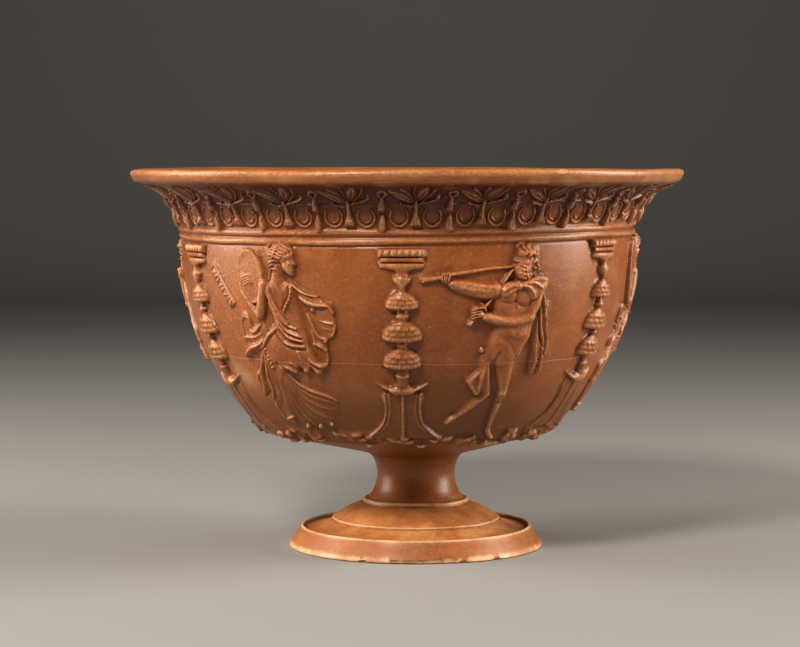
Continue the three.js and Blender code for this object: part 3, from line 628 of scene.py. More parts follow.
def press_egg_repeat(degrees):
    """A tassel with an egg on each side of it, and the tongue that follows."""
    stamp = Stamp(degrees, 17, band_lift(math.radians(degrees)))
    for side in (-1, 1):
        egg = across(side * REPEAT / 4, 91)
        stamp.dot((egg, 90.8), (2.8, 3.2), 0.5)
        border = [(-2.2, 93.6, 0.35), (-3.1, 91.4, 0.42), (-2.7, 89.0, 0.5), (-1.2, 87.4, 0.55),
                  (0, 87.1, 0.55)]
        for way in (-1, 1):
            stamp.lay([(egg + way * u, v, half) for u, v, half in border], 0.9)
            inner = [(way * -1.7, 92.4, 0.26), (way * -1.9, 90.4, 0.32), (way * -0.9, 88.9, 0.36),
                     (0, 88.6, 0.36)]
            stamp.crease([(egg + u, v, half) for u, v, half in inner], 0.5)
    stamp.lay([(0, 95.6, 0.9), (0, 93.4, 0.8), (0, 91, 1.1), (0, 89, 1.6)], 1.4)
    stamp.spread([(-2.1, 87.5), (2.1, 87.5), (1.4, 90.4), (-1.4, 90.4)], 1.7, 0.6, steps=1)
    for flute in (-1, 0, 1):
        stamp.crease([(0.3 * flute, 94.4, 0.3), (0.7 * flute, 91, 0.4), (1.4 * flute, 87.8, 0.5)], 0.5)
    tongue = across(-REPEAT / 2, 89)
    stamp.lay([(tongue, 96, 0.5), (tongue, 92.6, 0.5), (tongue, 90.4, 0.8)], 0.6)
    stamp.lay([(tongue, 91, 0.8), (tongue, 88.8, 1.4), (tongue, 87, 1.5), (tongue, 86, 1.2)], 1.9)
    for flute in (-1, 1):
        stamp.crease([(tongue + 0.3 * flute, 90.4, 0.3), (tongue + 0.7 * flute, 88.4, 0.45),
                      (tongue + 0.6 * flute, 86.2, 0.4)], 0.45)
    stamp.press()


for repeat in range(EGG_PAIRS):
    press_egg_repeat(EGG_START + REPEAT * repeat)
for middle, half, rise, phase in RIDGES:
    sway = 0.2 * np.sin(3 * TURN + phase) + 0.12 * np.sin(8 * TURN + 2 * phase)
    sway += 0.06 * np.sin(23 * TURN + phase)
    swell = 1 + 0.12 * np.sin(13 * TURN + phase) + 0.08 * np.sin(29 * TURN)
    ridge = rise * swell * np.maximum(0, 1 - ((RUN[:, None] - middle - sway - band_lift(TURN)) / half) ** 2)
    np.maximum(relief, ridge, out=relief)

# The garland: forked stems with one slanting and one upright leaf, a tendril and a scroll over
# each tassel, and a hanging bud over each tongue, lying on the hollow of the flare.
def leaf(stamp, root, degrees, size, width):
    """A swelling leaf with a fine rim and midrib, growing from its root at an angle from upright."""
    along = np.array([math.sin(math.radians(degrees)), math.cos(math.radians(degrees))])
    side = np.array([along[1], -along[0]]) * width / 2
    shares = [(0, 0), (0.3, 0.9), (0.6, 1), (0.85, 0.5), (1, 0), (0.85, -0.5), (0.6, -1), (0.3, -0.9)]
    stamp.spread([root + size * up * along + out * side for up, out in shares], 1.1, 0.35 * width, steps=4)
    for bend in (-1, 1):
        rim = [(*(root + size * up * along + bend * out * side), 0.32) for up, out in shares[:5]]
        stamp.crease(rim, 0.4)
    rib = [(*(root + size * up * along), half) for up, half in ((0.05, 0.4), (0.5, 0.45), (0.95, 0.3))]
    stamp.crease(rib, -0.4)


def press_garland_repeat(degrees):
    """The stems and leaves over one tassel, and the bud over the tongue beside it."""
    stamp = Stamp(degrees, 19, 0.7 * band_lift(math.radians(degrees)))
    stamp.lay([(0, 94.6, 0.8), (0, 96.2, 0.6), (0.2, 97.8, 0.5)], 1.5)
    stamp.lay([(0, 95.8, 0.45), (-2.4, 95.6, 0.45), (-4.8, 96.0, 0.4), (-5.4, 96.9, 0.35)], 1.0)
    stamp.dome((-1.8, 95.2), (0.75, 0.75), 1.4)
    stamp.lay([(0.4, 96.2, 0.5), (3, 97, 0.55), (6, 98, 0.6), (7.8, 99.4, 0.5), (7.4, 100.6, 0.35)], 1.2)
    leaf(stamp, np.array([-0.8, 96.8]), -52, 11.5, 3.9)
    leaf(stamp, np.array([0.9, 97.6]), 16, 10, 4.2)
    stamp.lay([(-0.4, 97, 0.4), (-2.2, 101, 0.35), (-5.6, 105.4, 0.3)], 0.9)
    stamp.lay([(0.2, 97.4, 0.4), (-0.8, 101.6, 0.35), (-0.6, 107, 0.3)], 0.9)
    stamp.lay([(1.6, 96.8, 0.35), (5, 101, 0.35), (6.8, 105.8, 0.3)], 0.9)
    bud = across(-REPEAT / 2, 97)
    stamp.lay([(bud, 94.4, 1.5), (bud, 95.8, 1.3), (bud, 97.6, 0.9), (bud, 99.4, 0.5)], 1.9)
    stamp.crease([(bud - 0.7, 94.2, 0.4), (bud - 0.4, 97, 0.4)], 0.4)
    stamp.crease([(bud + 0.7, 94.2, 0.4), (bud + 0.4, 97, 0.4)], 0.4)
    stamp.lay([(bud, 99, 0.4), (bud - 1.5, 101.4, 0.4), (bud, 103.4, 0.4), (bud + 1.5, 101.4, 0.4),
               (bud, 99, 0.4)], 0.9)
    stamp.press()


for repeat in range(EGG_PAIRS):
    press_garland_repeat(EGG_START + REPEAT * repeat)

# The rough ground: broken clods of clay left along the sharp turn, under the figures' feet, with three
# larger stones beside each lampstand, two on the left and one on the right.
GROUND_TOP = 8.5
GROUND_SEED = 7
GROUND_RISE = 1.5


def rough(seed, columns, row_size):
    """Uneven heights from -1 to 1, with so many clods around and one each row size up the wall."""
    heights = np.random.default_rng(seed).uniform(-1, 1, (int(RUN[-1] / row_size) + 3, columns))
    turn, up = np.meshgrid((TURN + math.pi) / (2 * math.pi) * columns, RUN / row_size)
    column, row = turn.astype(int), up.astype(int)
    a, b = turn - column, up - row
    a, b = a * a * (3 - 2 * a), b * b * (3 - 2 * b)
    after = (column + 1) % columns
    lower = heights[row, column] * (1 - a) + heights[row, after] * a
    upper = heights[row + 1, column] * (1 - a) + heights[row + 1, after] * a
    return lower * (1 - b) + upper * b


clods = rough(GROUND_SEED, 74, 3.2) + 0.4 * rough(GROUND_SEED + 1, 180, 1.5)
clods += 0.1 * rough(GROUND_SEED + 3, 420, 0.7)
clods = np.clip(1.1 * clods + 0.18, 0, 1)
ground_edge = GROUND_TOP + 2.2 * rough(GROUND_SEED + 2, 40, 20.0)
ground_fade = np.clip((ground_edge - RUN[:, None]) / 4.5, 0, 1)
np.maximum(relief, GROUND_RISE * ground_fade * clods * clods * (3 - 2 * clods), out=relief)
for degrees, _, _, _ in LAMPSTANDS:
    stones = Stamp(degrees, 24)
    stones.dome((-17, 5.6), (2.8, 1.5), 1.3, 12)
    stones.dome((-15, 3.2), (2.6, 1.3), 1.2, -8)
    stones.dome((15.5, 3.8), (2.8, 1.4), 1.3, 16)
    stones.press()

# The lip and the inside: the lip was turned on the wheel after the wall had stiffened, with a
# slanting outer face and a rounded top. The inside is plain, wiped smooth over a shallow floor.
WALL_THICKNESS = 5.0
FLOOR_HEIGHT = 46.5
LIP_STEP = 0.45
INSIDE_STEP = 1.1
lip_face = [(LIP_RADIUS - 2, HEIGHT - LIP_FACE), (LIP_RADIUS - 0.8, HEIGHT - 3.4),
            (LIP_RADIUS - 0.05, HEIGHT - 1.5)]
lip_top = [(LIP_RADIUS - 0.05, HEIGHT - 1.5), (LIP_RADIUS - 0.4, HEIGHT - 0.6),
           (LIP_RADIUS - 1.8, HEIGHT), (LIP_RADIUS - 4, HEIGHT - 0.7), (LIP_RADIUS - 7.2, HEIGHT - 2.4)]
lip_line = np.vstack([spaced(trace(lip_face), LIP_STEP)[1:], spaced(trace(lip_top), LIP_STEP)[1:]])
inner_wall = []
for run in (100, 92, 72, 48, 24):
    row = np.searchsorted(RUN, run)
    inner_wall.append(wall_line[row] + WALL_THICKNESS * np.array([-wall_slope[row, 1], wall_slope[row, 0]]))
inside_points = [lip_line[-1], *inner_wall, (38, FLOOR_HEIGHT + 2.6), (16, FLOOR_HEIGHT + 0.4),
                 (1.5, FLOOR_HEIGHT)]
inside_line = spaced(trace(inside_points), INSIDE_STEP)[1:]

# The foot and stem: turned apart on the wheel, hollowed below, and luted to the bowl a little off
# its axis. A slanted rim holds a sunk plate, a step, a domed ring, a fillet and a waisted stem.
FOOT_RADIUS = 48.2
FOOT_SHIFT = 3.4
FOOT_STEP = 0.3
STEM_TOP = 36.0
FOOT_STRETCHES = [
    [(1.5, 21), (12, 18), (22, 12.4), (30, 6), (37, 2.2), (41.5, 0.3)],
    [(41.5, 0.3), (43, 0), (FOOT_RADIUS - 0.9, 0)],
    [(FOOT_RADIUS - 0.9, 0), (FOOT_RADIUS - 0.1, 0.35), (FOOT_RADIUS - 0.2, 1.0)],
    [(FOOT_RADIUS - 0.2, 1.0), (45.9, 4.2), (43.9, 6.9)],
    [(43.9, 6.9), (43.5, 7.8), (42.9, 7.9), (42.3, 7.0), (41.4, 6.7)],
    [(41.4, 6.7), (37.5, 7.6), (34, 9.0), (32.3, 9.9)],
    [(32.3, 9.9), (31.9, 10.1), (31.8, 10.7), (31.3, 11.0)],
    [(31.3, 11.0), (28.7, 12.7), (24.9, 14.9), (20.6, 16.5)],
    [(20.6, 16.5), (20.2, 16.7), (20.1, 17.5), (19.6, 18.1), (18.9, 18.2), (18.3, 18.3)],
    [(18.3, 18.3), (16.9, 20.0), (15.6, 22.6), (14.8, 27), (15.2, 30.6), (16.4, 33.8), (18.2, 35.6)],
    [(18.2, 35.6), (22, 36.7), (38, 40.6), (52.5, 44.1), tuple(wall_line[0])],
]
foot_line = np.vstack([spaced(trace(stretch), FOOT_STEP)[:-1] for stretch in FOOT_STRETCHES])

# The fired body: bowl, relief, lip and foot are one piece of clay. It is meshed in three closed
# parts, so that each can be fine enough: they meet at the turned line under the bands and at the
# sharp turn above the stem. The wall is finest, and flat places are thinned out.
PLAIN_AROUND = AROUND // 4
SEAM = 80.0
SEAM_GROOVE = 0.3
WALL_TRIANGLES = 192000
RIM_TRIANGLES = 150000
FOOT_TRIANGLES = 40000
SHARP_DEGREES = 38
MARK_REACH = 40
MARK_HEIGHT = 0.45
UNEVEN = 0.035
UNEVEN_SEED = 11
CHIP_DEPTH = 0.018
CHIP_MARKS = [(-9, 0.5, 2.6, 1.0), (-3, 0.2, 3.4, 1.3), (3, 0.6, 2.4, 0.9), (9, 0.3, 3.8, 1.5),
              (15, 0.6, 2.6, 1.6), (21, 0.2, 2.2, 0.9), (-24, 0.3, 1.8, 0.7), (38, 0.3, 2.0, 0.8),
              (150, 0.4, 2.8, 1.0), (203, 0.3, 2.0, 0.8)]
LIP_NICKS = [(-52, 1.6, 0.5), (-17, 1.1, 0.4), (31, 1.8, 0.5), (74, 1.4, 0.4), (128, 2.0, 0.6),
             (196, 1.5, 0.5), (251, 1.9, 0.5)]


def soften(field, times):
    """Blurs a field of heights a little, around the wall without a break and up it."""
    for _ in range(times):
        field = (np.roll(field, 1, 1) + 2 * field + np.roll(field, -1, 1)) / 4
        padded = np.pad(field, ((1, 1), (0, 0)), mode="edge")
        field = (padded[:-2] + 2 * padded[1:-1] + padded[2:]) / 4
    return field


def turned(line, turns):
    """Places of a turned line at every angle, as rows of points in millimetres."""
    return np.dstack([np.outer(line[:, 0], np.sin(turns)), np.outer(line[:, 0], -np.cos(turns)),
                      np.repeat(line[:, 1:2], len(turns), 1)])


def edges(line, reach=2):
    """How sharply a turned line bends outwards and inwards at each of its points."""
    padded = np.pad(line, ((reach, reach), (0, 0)), mode="edge")
    before, after = line - padded[:-2 * reach], padded[2 * reach:] - line
    bend = before[:, 0] * after[:, 1] - before[:, 1] * after[:, 0]
    bend /= np.maximum(np.hypot(*before.T) * np.hypot(*after.T), 1e-6)
    return np.clip(1.4 * bend, 0, 1), np.clip(-1.4 * bend, 0, 1)


# The wall, pushed out by its relief and by the unevenness of the hand.
groove = np.exp(-((RUN[:, None] - SEAM - band_lift(TURN)) / 0.4) ** 2)
relief -= SEAM_GROOVE * groove * np.clip(1 - 3 * relief, 0, 1)
# The crest marks relief that stands above its surroundings, rubbed pale and painted as a highlight; the
# hollow marks where it lies below them, painted as shade.
standing = (relief - soften(relief, MARK_REACH)) / MARK_HEIGHT
wall_marks = np.dstack([np.clip(standing, 0, 1), np.clip(-standing, 0, 1), np.zeros_like(relief)])
wander = np.random.default_rng(UNEVEN_SEED).normal(size=(12, 4))
unevenness = np.zeros_like(relief)
for k, (a, b, c, d) in enumerate(wander):
    wave_around = np.sin((k % 6 + 1) * TURN + 3 * b)
    wave_up = np.sin(RUN[:, None] / (9 + 4 * abs(c)) + 3 * d)
    unevenness += UNEVEN * a * wave_around * wave_up
outward = np.column_stack([wall_slope[:, 1], -wall_slope[:, 0]])
raised = wall_line[:, None, :] + (relief + unevenness)[..., None] * outward[:, None, :]
wall_points = np.dstack([raised[..., 0] * np.sin(TURN), -raised[..., 0] * np.cos(TURN), raised[..., 1]])

# The foot, with its chips, set off the bowl's axis below the sharp turn.
plain_turn = TURN[::AROUND // PLAIN_AROUND]
plain_degrees = np.degrees(plain_turn)
foot_points = turned(foot_line, plain_turn)
foot_marks = np.zeros(foot_points.shape)
for column, point_marks in enumerate(edges(foot_line, 3)):
    foot_marks[..., column] = point_marks[:, None]
for degrees, height, half, tall in CHIP_MARKS:
    along = np.radians((plain_degrees - degrees + 180) % 360 - 180) * FOOT_RADIUS / half
    up = (foot_line[:, 1] - height) / tall
    on_edge = foot_line[:, 0] > FOOT_RADIUS - 4
    bite = np.clip(1 - along[None, :] ** 2 - up[:, None] ** 2, 0, 1) * on_edge[:, None]
    np.maximum(foot_marks[..., 2], bite ** 0.7, out=foot_marks[..., 2])
foot_points[..., :2] *= (1 - CHIP_DEPTH * foot_marks[..., 2])[..., None]
share = np.clip((WALL_FOOT - foot_line[:, 1]) / (WALL_FOOT - STEM_TOP), 0, 1)
foot_points[..., 0] += (FOOT_SHIFT * share * share * (3 - 2 * share))[:, None]

# The lip and the inside, with the lip's slight sway and its nicks.
top_line = np.vstack([lip_line, inside_line])
top_points = turned(top_line, plain_turn)
top_marks = np.zeros(top_points.shape)
for column, point_marks in enumerate(edges(top_line)):
    top_marks[..., column] = point_marks[:, None]
lip_share = np.clip((top_points[..., 2] - HEIGHT + 12) / 8, 0, 1)
lip_sway = 0.22 * np.sin(2 * plain_turn + 0.6) + 0.14 * np.sin(5 * plain_turn)
lip_sway += 0.1 * np.sin(11 * plain_turn + 2)
top_points[..., 2] += lip_share * lip_sway
lip_corner = len(spaced(trace(lip_face), LIP_STEP))
on_rim = np.exp(-((np.arange(len(top_points)) - lip_corner) / 2.0) ** 2)
for degrees, half, depth in LIP_NICKS:
    along = np.radians((plain_degrees - degrees + 180) % 360 - 180) * LIP_RADIUS / half
    bite = np.clip(1 - along ** 2, 0, 1)[None, :] * on_rim[:, None]
    top_points[..., 2] -= depth * bite
    np.maximum(top_marks[..., 2], bite, out=top_marks[..., 2])


def between(lower, upper):
    """The faces that join two rows, of which one may have several times as many points."""
    fine, plain = (lower, upper) if len(lower) > len(upper) else (upper, lower)
    times = len(fine) // len(plain)
    sides = [np.roll(fine, -step)[::times] for step in range(times + 1)]
    sides += [np.roll(plain, -1), plain]
    return np.column_stack(sides if fine is lower else sides[::-1])


# The lean of the full relief, which the thinned meshes are given back.
across_wall = np.roll(wall_points, -1, 1) - np.roll(wall_points, 1, 1)
wall_normals = np.cross(across_wall, np.gradient(wall_points, axis=0))
wall_normals /= np.linalg.norm(wall_normals, axis=2, keepdims=True)


def polish(shape):
    """Gives the corners that lie on the wall the lean of the full relief, before it was thinned."""
    places = np.empty(len(shape.vertices) * 3)
    shape.vertices.foreach_get("co", places)
    x, y, z = places.reshape(-1, 3).T / MM
    section = np.column_stack([np.hypot(x, y), z])
    row = np.interp(z, wall_line[:, 1], np.arange(len(wall_line)))
    for _ in range(4):
        nearest = np.clip(row.round().astype(int), 0, len(wall_line) - 1)
        offset = section - wall_line[nearest]
        row = np.clip(nearest + (offset * wall_slope[nearest]).sum(1) / ROW_STEP, 0, len(wall_line) - 1.001)
    off_wall = (offset * outward[nearest]).sum(1)
    off_row = np.abs((offset * wall_slope[nearest]).sum(1))
    close = (off_wall > -1.0) & (off_row < ROW_STEP)
    column = (np.arctan2(x, -y) + math.pi) / (2 * math.pi) * AROUND
    low_row, low_column = row.astype(int), column.astype(int) % AROUND
    up, along = (row - low_row)[:, None], (column % 1)[:, None]
    next_row, next_column = low_row + 1, (low_column + 1) % AROUND
    lower = wall_normals[low_row, low_column] * (1 - along) + wall_normals[low_row, next_column] * along
    upper = wall_normals[next_row, low_column] * (1 - along) + wall_normals[next_row, next_column] * along
    lean = lower * (1 - up) + upper * up
    lean /= np.linalg.norm(lean, axis=1, keepdims=True)
    corner, face = np.empty(len(shape.loops), int), np.empty(len(shape.polygons) * 3)
    shape.loops.foreach_get("vertex_index", corner)
    shape.polygons.foreach_get("normal", face)
    normals = np.empty(len(shape.loops) * 3)
    shape.corner_normals.foreach_get("vector", normals)
    normals = normals.reshape(-1, 3)
    faced = np.repeat(face.reshape(-1, 3), 3, 0)
    on_wall = close[corner] & ((faced * lean[corner]).sum(1) > 0.3)
    shape.normals_split_custom_set(np.where(on_wall[:, None], lean[corner], normals))


def fire(name, blocks, ends, triangles):
    """One closed part from blocks of rows and their marks of wear, painted highlight and painted shade; it
    ends at two points, or joins up to a ring.
    """
    rows, count = [], 0
    for points, _ in blocks:
        ids = np.arange(points.shape[0] * points.shape[1]).reshape(points.shape[:2]) + count
        rows += list(ids)
        count += ids.size
    faces = [between(lower, upper) for lower, upper in zip(rows, rows[1:])]
    places = np.vstack([points.reshape(-1, 3) for points, _ in blocks])
    point_marks = np.vstack([marks.reshape(-1, 3) for _, marks in blocks])
    if ends:
        places = np.vstack([places, ends])
        point_marks = np.vstack([point_marks, np.zeros((2, 3))])
        faces.append(np.column_stack([rows[0], np.full(len(rows[0]), count), np.roll(rows[0], -1)]))
        faces.append(np.column_stack([np.roll(rows[-1], -1), np.full(len(rows[-1]), count + 1), rows[-1]]))
    else:
        faces.append(between(rows[-1], rows[0]))
    sizes = np.concatenate([np.full(len(group), group.shape[1]) for group in faces])
    shape = bpy.data.meshes.new(name)
    shape.vertices.add(len(places))
    shape.vertices.foreach_set("co", (places * MM).reshape(-1))
    shape.loops.add(int(sizes.sum()))
    shape.loops.foreach_set("vertex_index", np.concatenate([group.reshape(-1) for group in faces]))
    shape.polygons.add(len(sizes))
    shape.polygons.foreach_set("loop_start", np.concatenate([[0], np.cumsum(sizes)[:-1]]))
    shape.update(calc_edges=True)
    for column, mark in enumerate(("crest", "hollow", "bare")):
        values = np.ascontiguousarray(point_marks[:, column], np.float32)
        shape.attributes.new(mark, "FLOAT", "POINT").data.foreach_set("value", values)
    part = bpy.data.objects.new(name, shape)
    bpy.context.scene.collection.objects.link(part)
    bpy.context.view_layer.objects.active = part
    thin = part.modifiers.new("thin", "DECIMATE")
    thin.ratio = triangles / int((sizes - 2).sum())
    thin.use_collapse_triangulate = True
    bpy.ops.object.modifier_apply(modifier=thin.name)
    part.data.polygons.foreach_set("use_smooth", np.ones(len(part.data.polygons), bool))
    part.data.set_sharp_from_angle(angle=math.radians(SHARP_DEGREES))
    polish(part.data)
    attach(part, "root")
    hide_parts("red_slip_bowl")
    return part


# The three parts, with the rows that close them under the bowl and along the seam.
seam_row = int(np.searchsorted(RUN, SEAM))
seam_height = wall_line[seam_row, 1]
under_seam = len(top_line) - int((top_line[lip_corner:, 1] < seam_height).sum())
under_line = np.array([(18, WALL_FOOT + 0.3), (50, WALL_FOOT + 0.1)])
under = (turned(under_line, plain_turn), np.zeros((2, PLAIN_AROUND, 3)))
seam_line = np.array([(np.interp(-seam_height, -inside_line[:, 1], inside_line[:, 0]), seam_height)])
seam_ring = (turned(seam_line, plain_turn), np.zeros((1, PLAIN_AROUND, 3)))
lower_wall = (wall_points[:seam_row + 1], wall_marks[:seam_row + 1])
upper_wall = (wall_points[seam_row:], wall_marks[seam_row:])
upper_top = (top_points[:under_seam], top_marks[:under_seam])
lower_top = (top_points[under_seam:], top_marks[under_seam:])
floor_ends = [(0, 0, WALL_FOOT + 0.3), (0, 0, inside_line[-1, 1])]
foot_ends = [(FOOT_SHIFT, 0, foot_line[0, 1]), (0, 0, WALL_FOOT - 0.2)]
fired_parts = [fire("bowl_wall", [under, lower_wall, seam_ring, lower_top], floor_ends, WALL_TRIANGLES),
               fire("bowl_rim", [upper_wall, upper_top, seam_ring], None, RIM_TRIANGLES),
               fire("foot_and_stem", [(foot_points, foot_marks)], foot_ends, FOOT_TRIANGLES)]

# The red slip: a fine iron-rich clay dipped over the whole bowl and fired to a satin gloss. It is mottled
# by the kiln and rubbed pale on the high relief and the edges, where a painted highlight is added too. The
# hollows, the lower wall and the flare under the lip are darkened as painted shade, and the stem is
# lightened as painted light. Two mended breaks show as thin pale lines.
SLIP_RED = (0.37, 0.122, 0.03)
SLIP_DEEP = (0.28, 0.08, 0.016)
SLIP_BRIGHT = (0.46, 0.18, 0.055)
# Pale rubbed colour, for real wear and fine flecks, and for a painted highlight on the high relief.
RUBBED_AND_HIGHLIGHT = (0.66, 0.35, 0.18)
# Soot colour, for real dark specks and for painted shade in the hollows.
SOOT_AND_SHADE = (0.075, 0.02, 0.006)
OCHRE = (0.58, 0.37, 0.18)
PALE_FOOT = (0.6, 0.28, 0.1)
BARE_CLAY = (0.8, 0.53, 0.3)
OLIVE_SHADE = (0.19, 0.062, 0.008)
CRIMSON_SHADE = (0.1, 0.014, 0.006)


class Value:
    """A socket in the slip's node tree that Python's operators work on."""

    def __init__(self, tree, socket):
        self.tree = tree
        self.socket = socket

    def node(self, kind, settings=None, out=0, **inputs):
        """Adds a node, sets it up, then feeds its sockets; index_3 names the socket with index 3."""
        made = self.tree.nodes.new(kind)
        for name, value in (settings or {}).items():
            if name == "stops":
                while len(made.color_ramp.elements) < len(value):
                    made.color_ramp.elements.new(0.5)
                for stop, (place, tone) in zip(made.color_ramp.elements, value):
                    stop.position = place
                    stop.color = (tone, tone, tone, 1)
            else:
                setattr(made, name, value)
        for name, value in inputs.items():
            key = int(name[6:]) if name.startswith("index_") else name.replace("_", " ")
            socket = made.inputs[key]
            if isinstance(value, Value):
                self.tree.links.new(value.socket, socket)
            else:
                socket.default_value = value
        return Value(self.tree, made.outputs[out])

    def maths(self, operation, first, second=0.0):
        """One step of shader maths, named as Blender names it."""
        return self.node("ShaderNodeMath", {"operation": operation}, index_0=first, index_1=second)

    def __add__(self, other):
        return self.maths("ADD", self, other)

    def __radd__(self, other):
        return self.maths("ADD", other, self)

    def __sub__(self, other):
        return self.maths("SUBTRACT", self, other)

    def __rsub__(self, other):
        return self.maths("SUBTRACT", other, self)

    def __mul__(self, other):
        return self.maths("MULTIPLY", self, other)

    def __rmul__(self, other):
        return self.maths("MULTIPLY", other, self)

    def __truediv__(self, other):
        return self.maths("DIVIDE", self, other)

    def ramp(self, low, high):
        """0 below low, 1 above high and smooth between; low may be the larger."""
        settings = {"interpolation_type": "SMOOTHSTEP"}
        return self.node("ShaderNodeMapRange", settings, Value=self, From_Min=low, From_Max=high)

    def near(self, place, reach):
        """1 at one place, falling to 0 at the reach on either side."""
        return self.maths("ABSOLUTE", self - place).ramp(reach, 0.0)

    def over(self, base, colour):
        """Lays a colour over a base colour by this mask."""
        return self.node("ShaderNodeMix", {"data_type": "RGBA"}, 2, index_0=self, index_6=base,
                         index_7=colour)


slip = bpy.data.materials.new("red_slip")
slip.use_nodes = True
tree = slip.node_tree
shader = tree.nodes["Principled BSDF"]
surface = tree.nodes.new("ShaderNodeTexCoord")
place = Value(tree, surface.outputs["Object"])
facing = Value(tree, surface.outputs["Normal"])
axis = place.node("ShaderNodeSeparateXYZ", Vector=place)
x, y, z = (Value(tree, axis.socket.node.outputs[i]) for i in range(3))
angle = place.maths("ARCTAN2", x, 0 - y)
radius = place.maths("SQRT", x * x + y * y)
from_axis = place.node("ShaderNodeCombineXYZ", X=x / radius, Y=y / radius)
outside = place.node("ShaderNodeVectorMath", {"operation": "DOT_PRODUCT"}, 1, index_0=facing,
                     index_1=from_axis)
outside = outside.ramp(-0.1, 0.1)


def noise(scale, detail=3.0, roughness=0.55, vector=place):
    """Uneven tone from 0 to 1, with about this many patches to a metre."""
    settings = {"noise_dimensions": "3D"}
    inputs = {"Vector": vector, "Scale": scale, "Detail": detail, "Roughness": roughness}
    return place.node("ShaderNodeTexNoise", settings, **inputs)


def mesh_mark(name):
    """A mark that the mesh carries at its points, for wear, painted highlight and painted shade."""
    return place.node("ShaderNodeAttribute", {"attribute_name": name}, 2)


def colour(rgb):
    """A colour as a socket takes it."""
    return (*rgb, 1.0)


around = place.node("ShaderNodeCombineXYZ", X=angle * 0.02, Y=z, Z=radius)
wheel = noise(620.0, 2.0, 0.5, around)
streaks = noise(160.0, 5.0, 0.7, around)
clouds = noise(21.0, 4.0)
mottle = noise(95.0, 5.0, 0.65)
grain = noise(950.0, 3.0, 0.7)
specks = noise(700.0, 1.0)
crest_wear_and_highlight = mesh_mark("crest")
hollow_shade = mesh_mark("hollow")
chipped = mesh_mark("bare")
wobble = (noise(60.0, 3.0) - 0.5) * 0.0016
HAIRLINE = 0.00018
LEVEL_HEIGHT = 0.0752
level_break = (z + wobble).near(LEVEL_HEIGHT, HAIRLINE) * angle.ramp(-1.6, -1.4) * angle.ramp(1.5, 1.3)
SLANT_FROM, SLANT_TO = -1.06, -0.35
SLANT_STOPS = [(0.0, 0.1052), (0.25, 0.1055), (0.42, 0.109), (0.66, 0.1153), (0.8, 0.1188), (1.0, 0.1257)]
slant_share = (angle - SLANT_FROM) / (SLANT_TO - SLANT_FROM)
slant_height = place.node("ShaderNodeValToRGB", {"stops": SLANT_STOPS}, Fac=slant_share)
slant_break = (z + wobble - slant_height).near(0.0, HAIRLINE) * angle.ramp(SLANT_FROM, SLANT_FROM + 0.02)
slant_break = slant_break * angle.ramp(SLANT_TO, SLANT_TO - 0.02)
breaks = place.maths("MAXIMUM", level_break, slant_break)

# Where each tone lies, by its height on the bowl in metres.
above_foot_rim = z.ramp(0.0062, 0.0085)
on_foot = z.ramp(0.021, 0.016)
stem_painted_light = z.near(0.029, 0.011)
low_wall_shade = z.ramp(0.082, 0.05) * z.ramp(0.022, 0.036)
under_lip_shade = z.ramp(0.1235, 0.134) * z.ramp(0.1392, 0.1375)
on_lip = z.ramp(0.1375, 0.1392)

# The tones, laid one over the other, from the dipped colour to the wear, painted shade and painted
# highlight on top.
base = clouds.ramp(0.35, 0.68).over(colour(SLIP_RED), colour(SLIP_DEEP))
base = (mottle.ramp(0.46, 0.72) * 0.55).over(base, colour(SLIP_BRIGHT))
base = (wheel.ramp(0.55, 0.8) * 0.22).over(base, colour(SLIP_BRIGHT))
base = (specks.ramp(0.68, 0.76) * 0.25).over(base, colour(SOOT_AND_SHADE))
base = (specks.ramp(0.31, 0.25) * 0.35).over(base, colour(OCHRE))
base = (grain.ramp(0.46, 0.7) * 0.18).over(base, colour(RUBBED_AND_HIGHLIGHT))
# Painted light: the stem, shaded by the bowl above it, is lightened in streaks that run along the turning.
base = (stem_painted_light * (0.25 + 0.5 * streaks.ramp(0.4, 0.65))).over(base, colour(SLIP_BRIGHT))
# Painted shade: the outer flare under the overhanging lip is darkened towards deep crimson.
base = (under_lip_shade * outside * 0.9).over(base, colour(CRIMSON_SHADE))
# The lip is lightened in mottled streaks: partly real wear, partly a painted highlight.
lip_pale_and_highlight = on_lip * (0.3 * mottle + 0.35 * streaks.ramp(0.45, 0.7))
base = lip_pale_and_highlight.over(base, colour(PALE_FOOT))
# Painted shade and painted dark reflection: the lower wall, which faces down towards the floor, is darkened
# towards olive brown.
base = (low_wall_shade * (0.5 + 0.5 * clouds)).over(base, colour(OLIVE_SHADE))
foot_tone = 0.3 + 0.35 * mottle.ramp(0.3, 0.7) + 0.45 * streaks.ramp(0.4, 0.65)
foot_pale = on_foot * (0.35 + 0.65 * above_foot_rim) * foot_tone * (0.6 + 0.6 * grain)
base = foot_pale.over(base, colour(PALE_FOOT))
# Painted shade: the hollows of the relief and the inward corners of the turned lines are darkened towards
# soot colour.
base = (hollow_shade.ramp(0.05, 0.9) * 0.34).over(base, colour(SOOT_AND_SHADE))
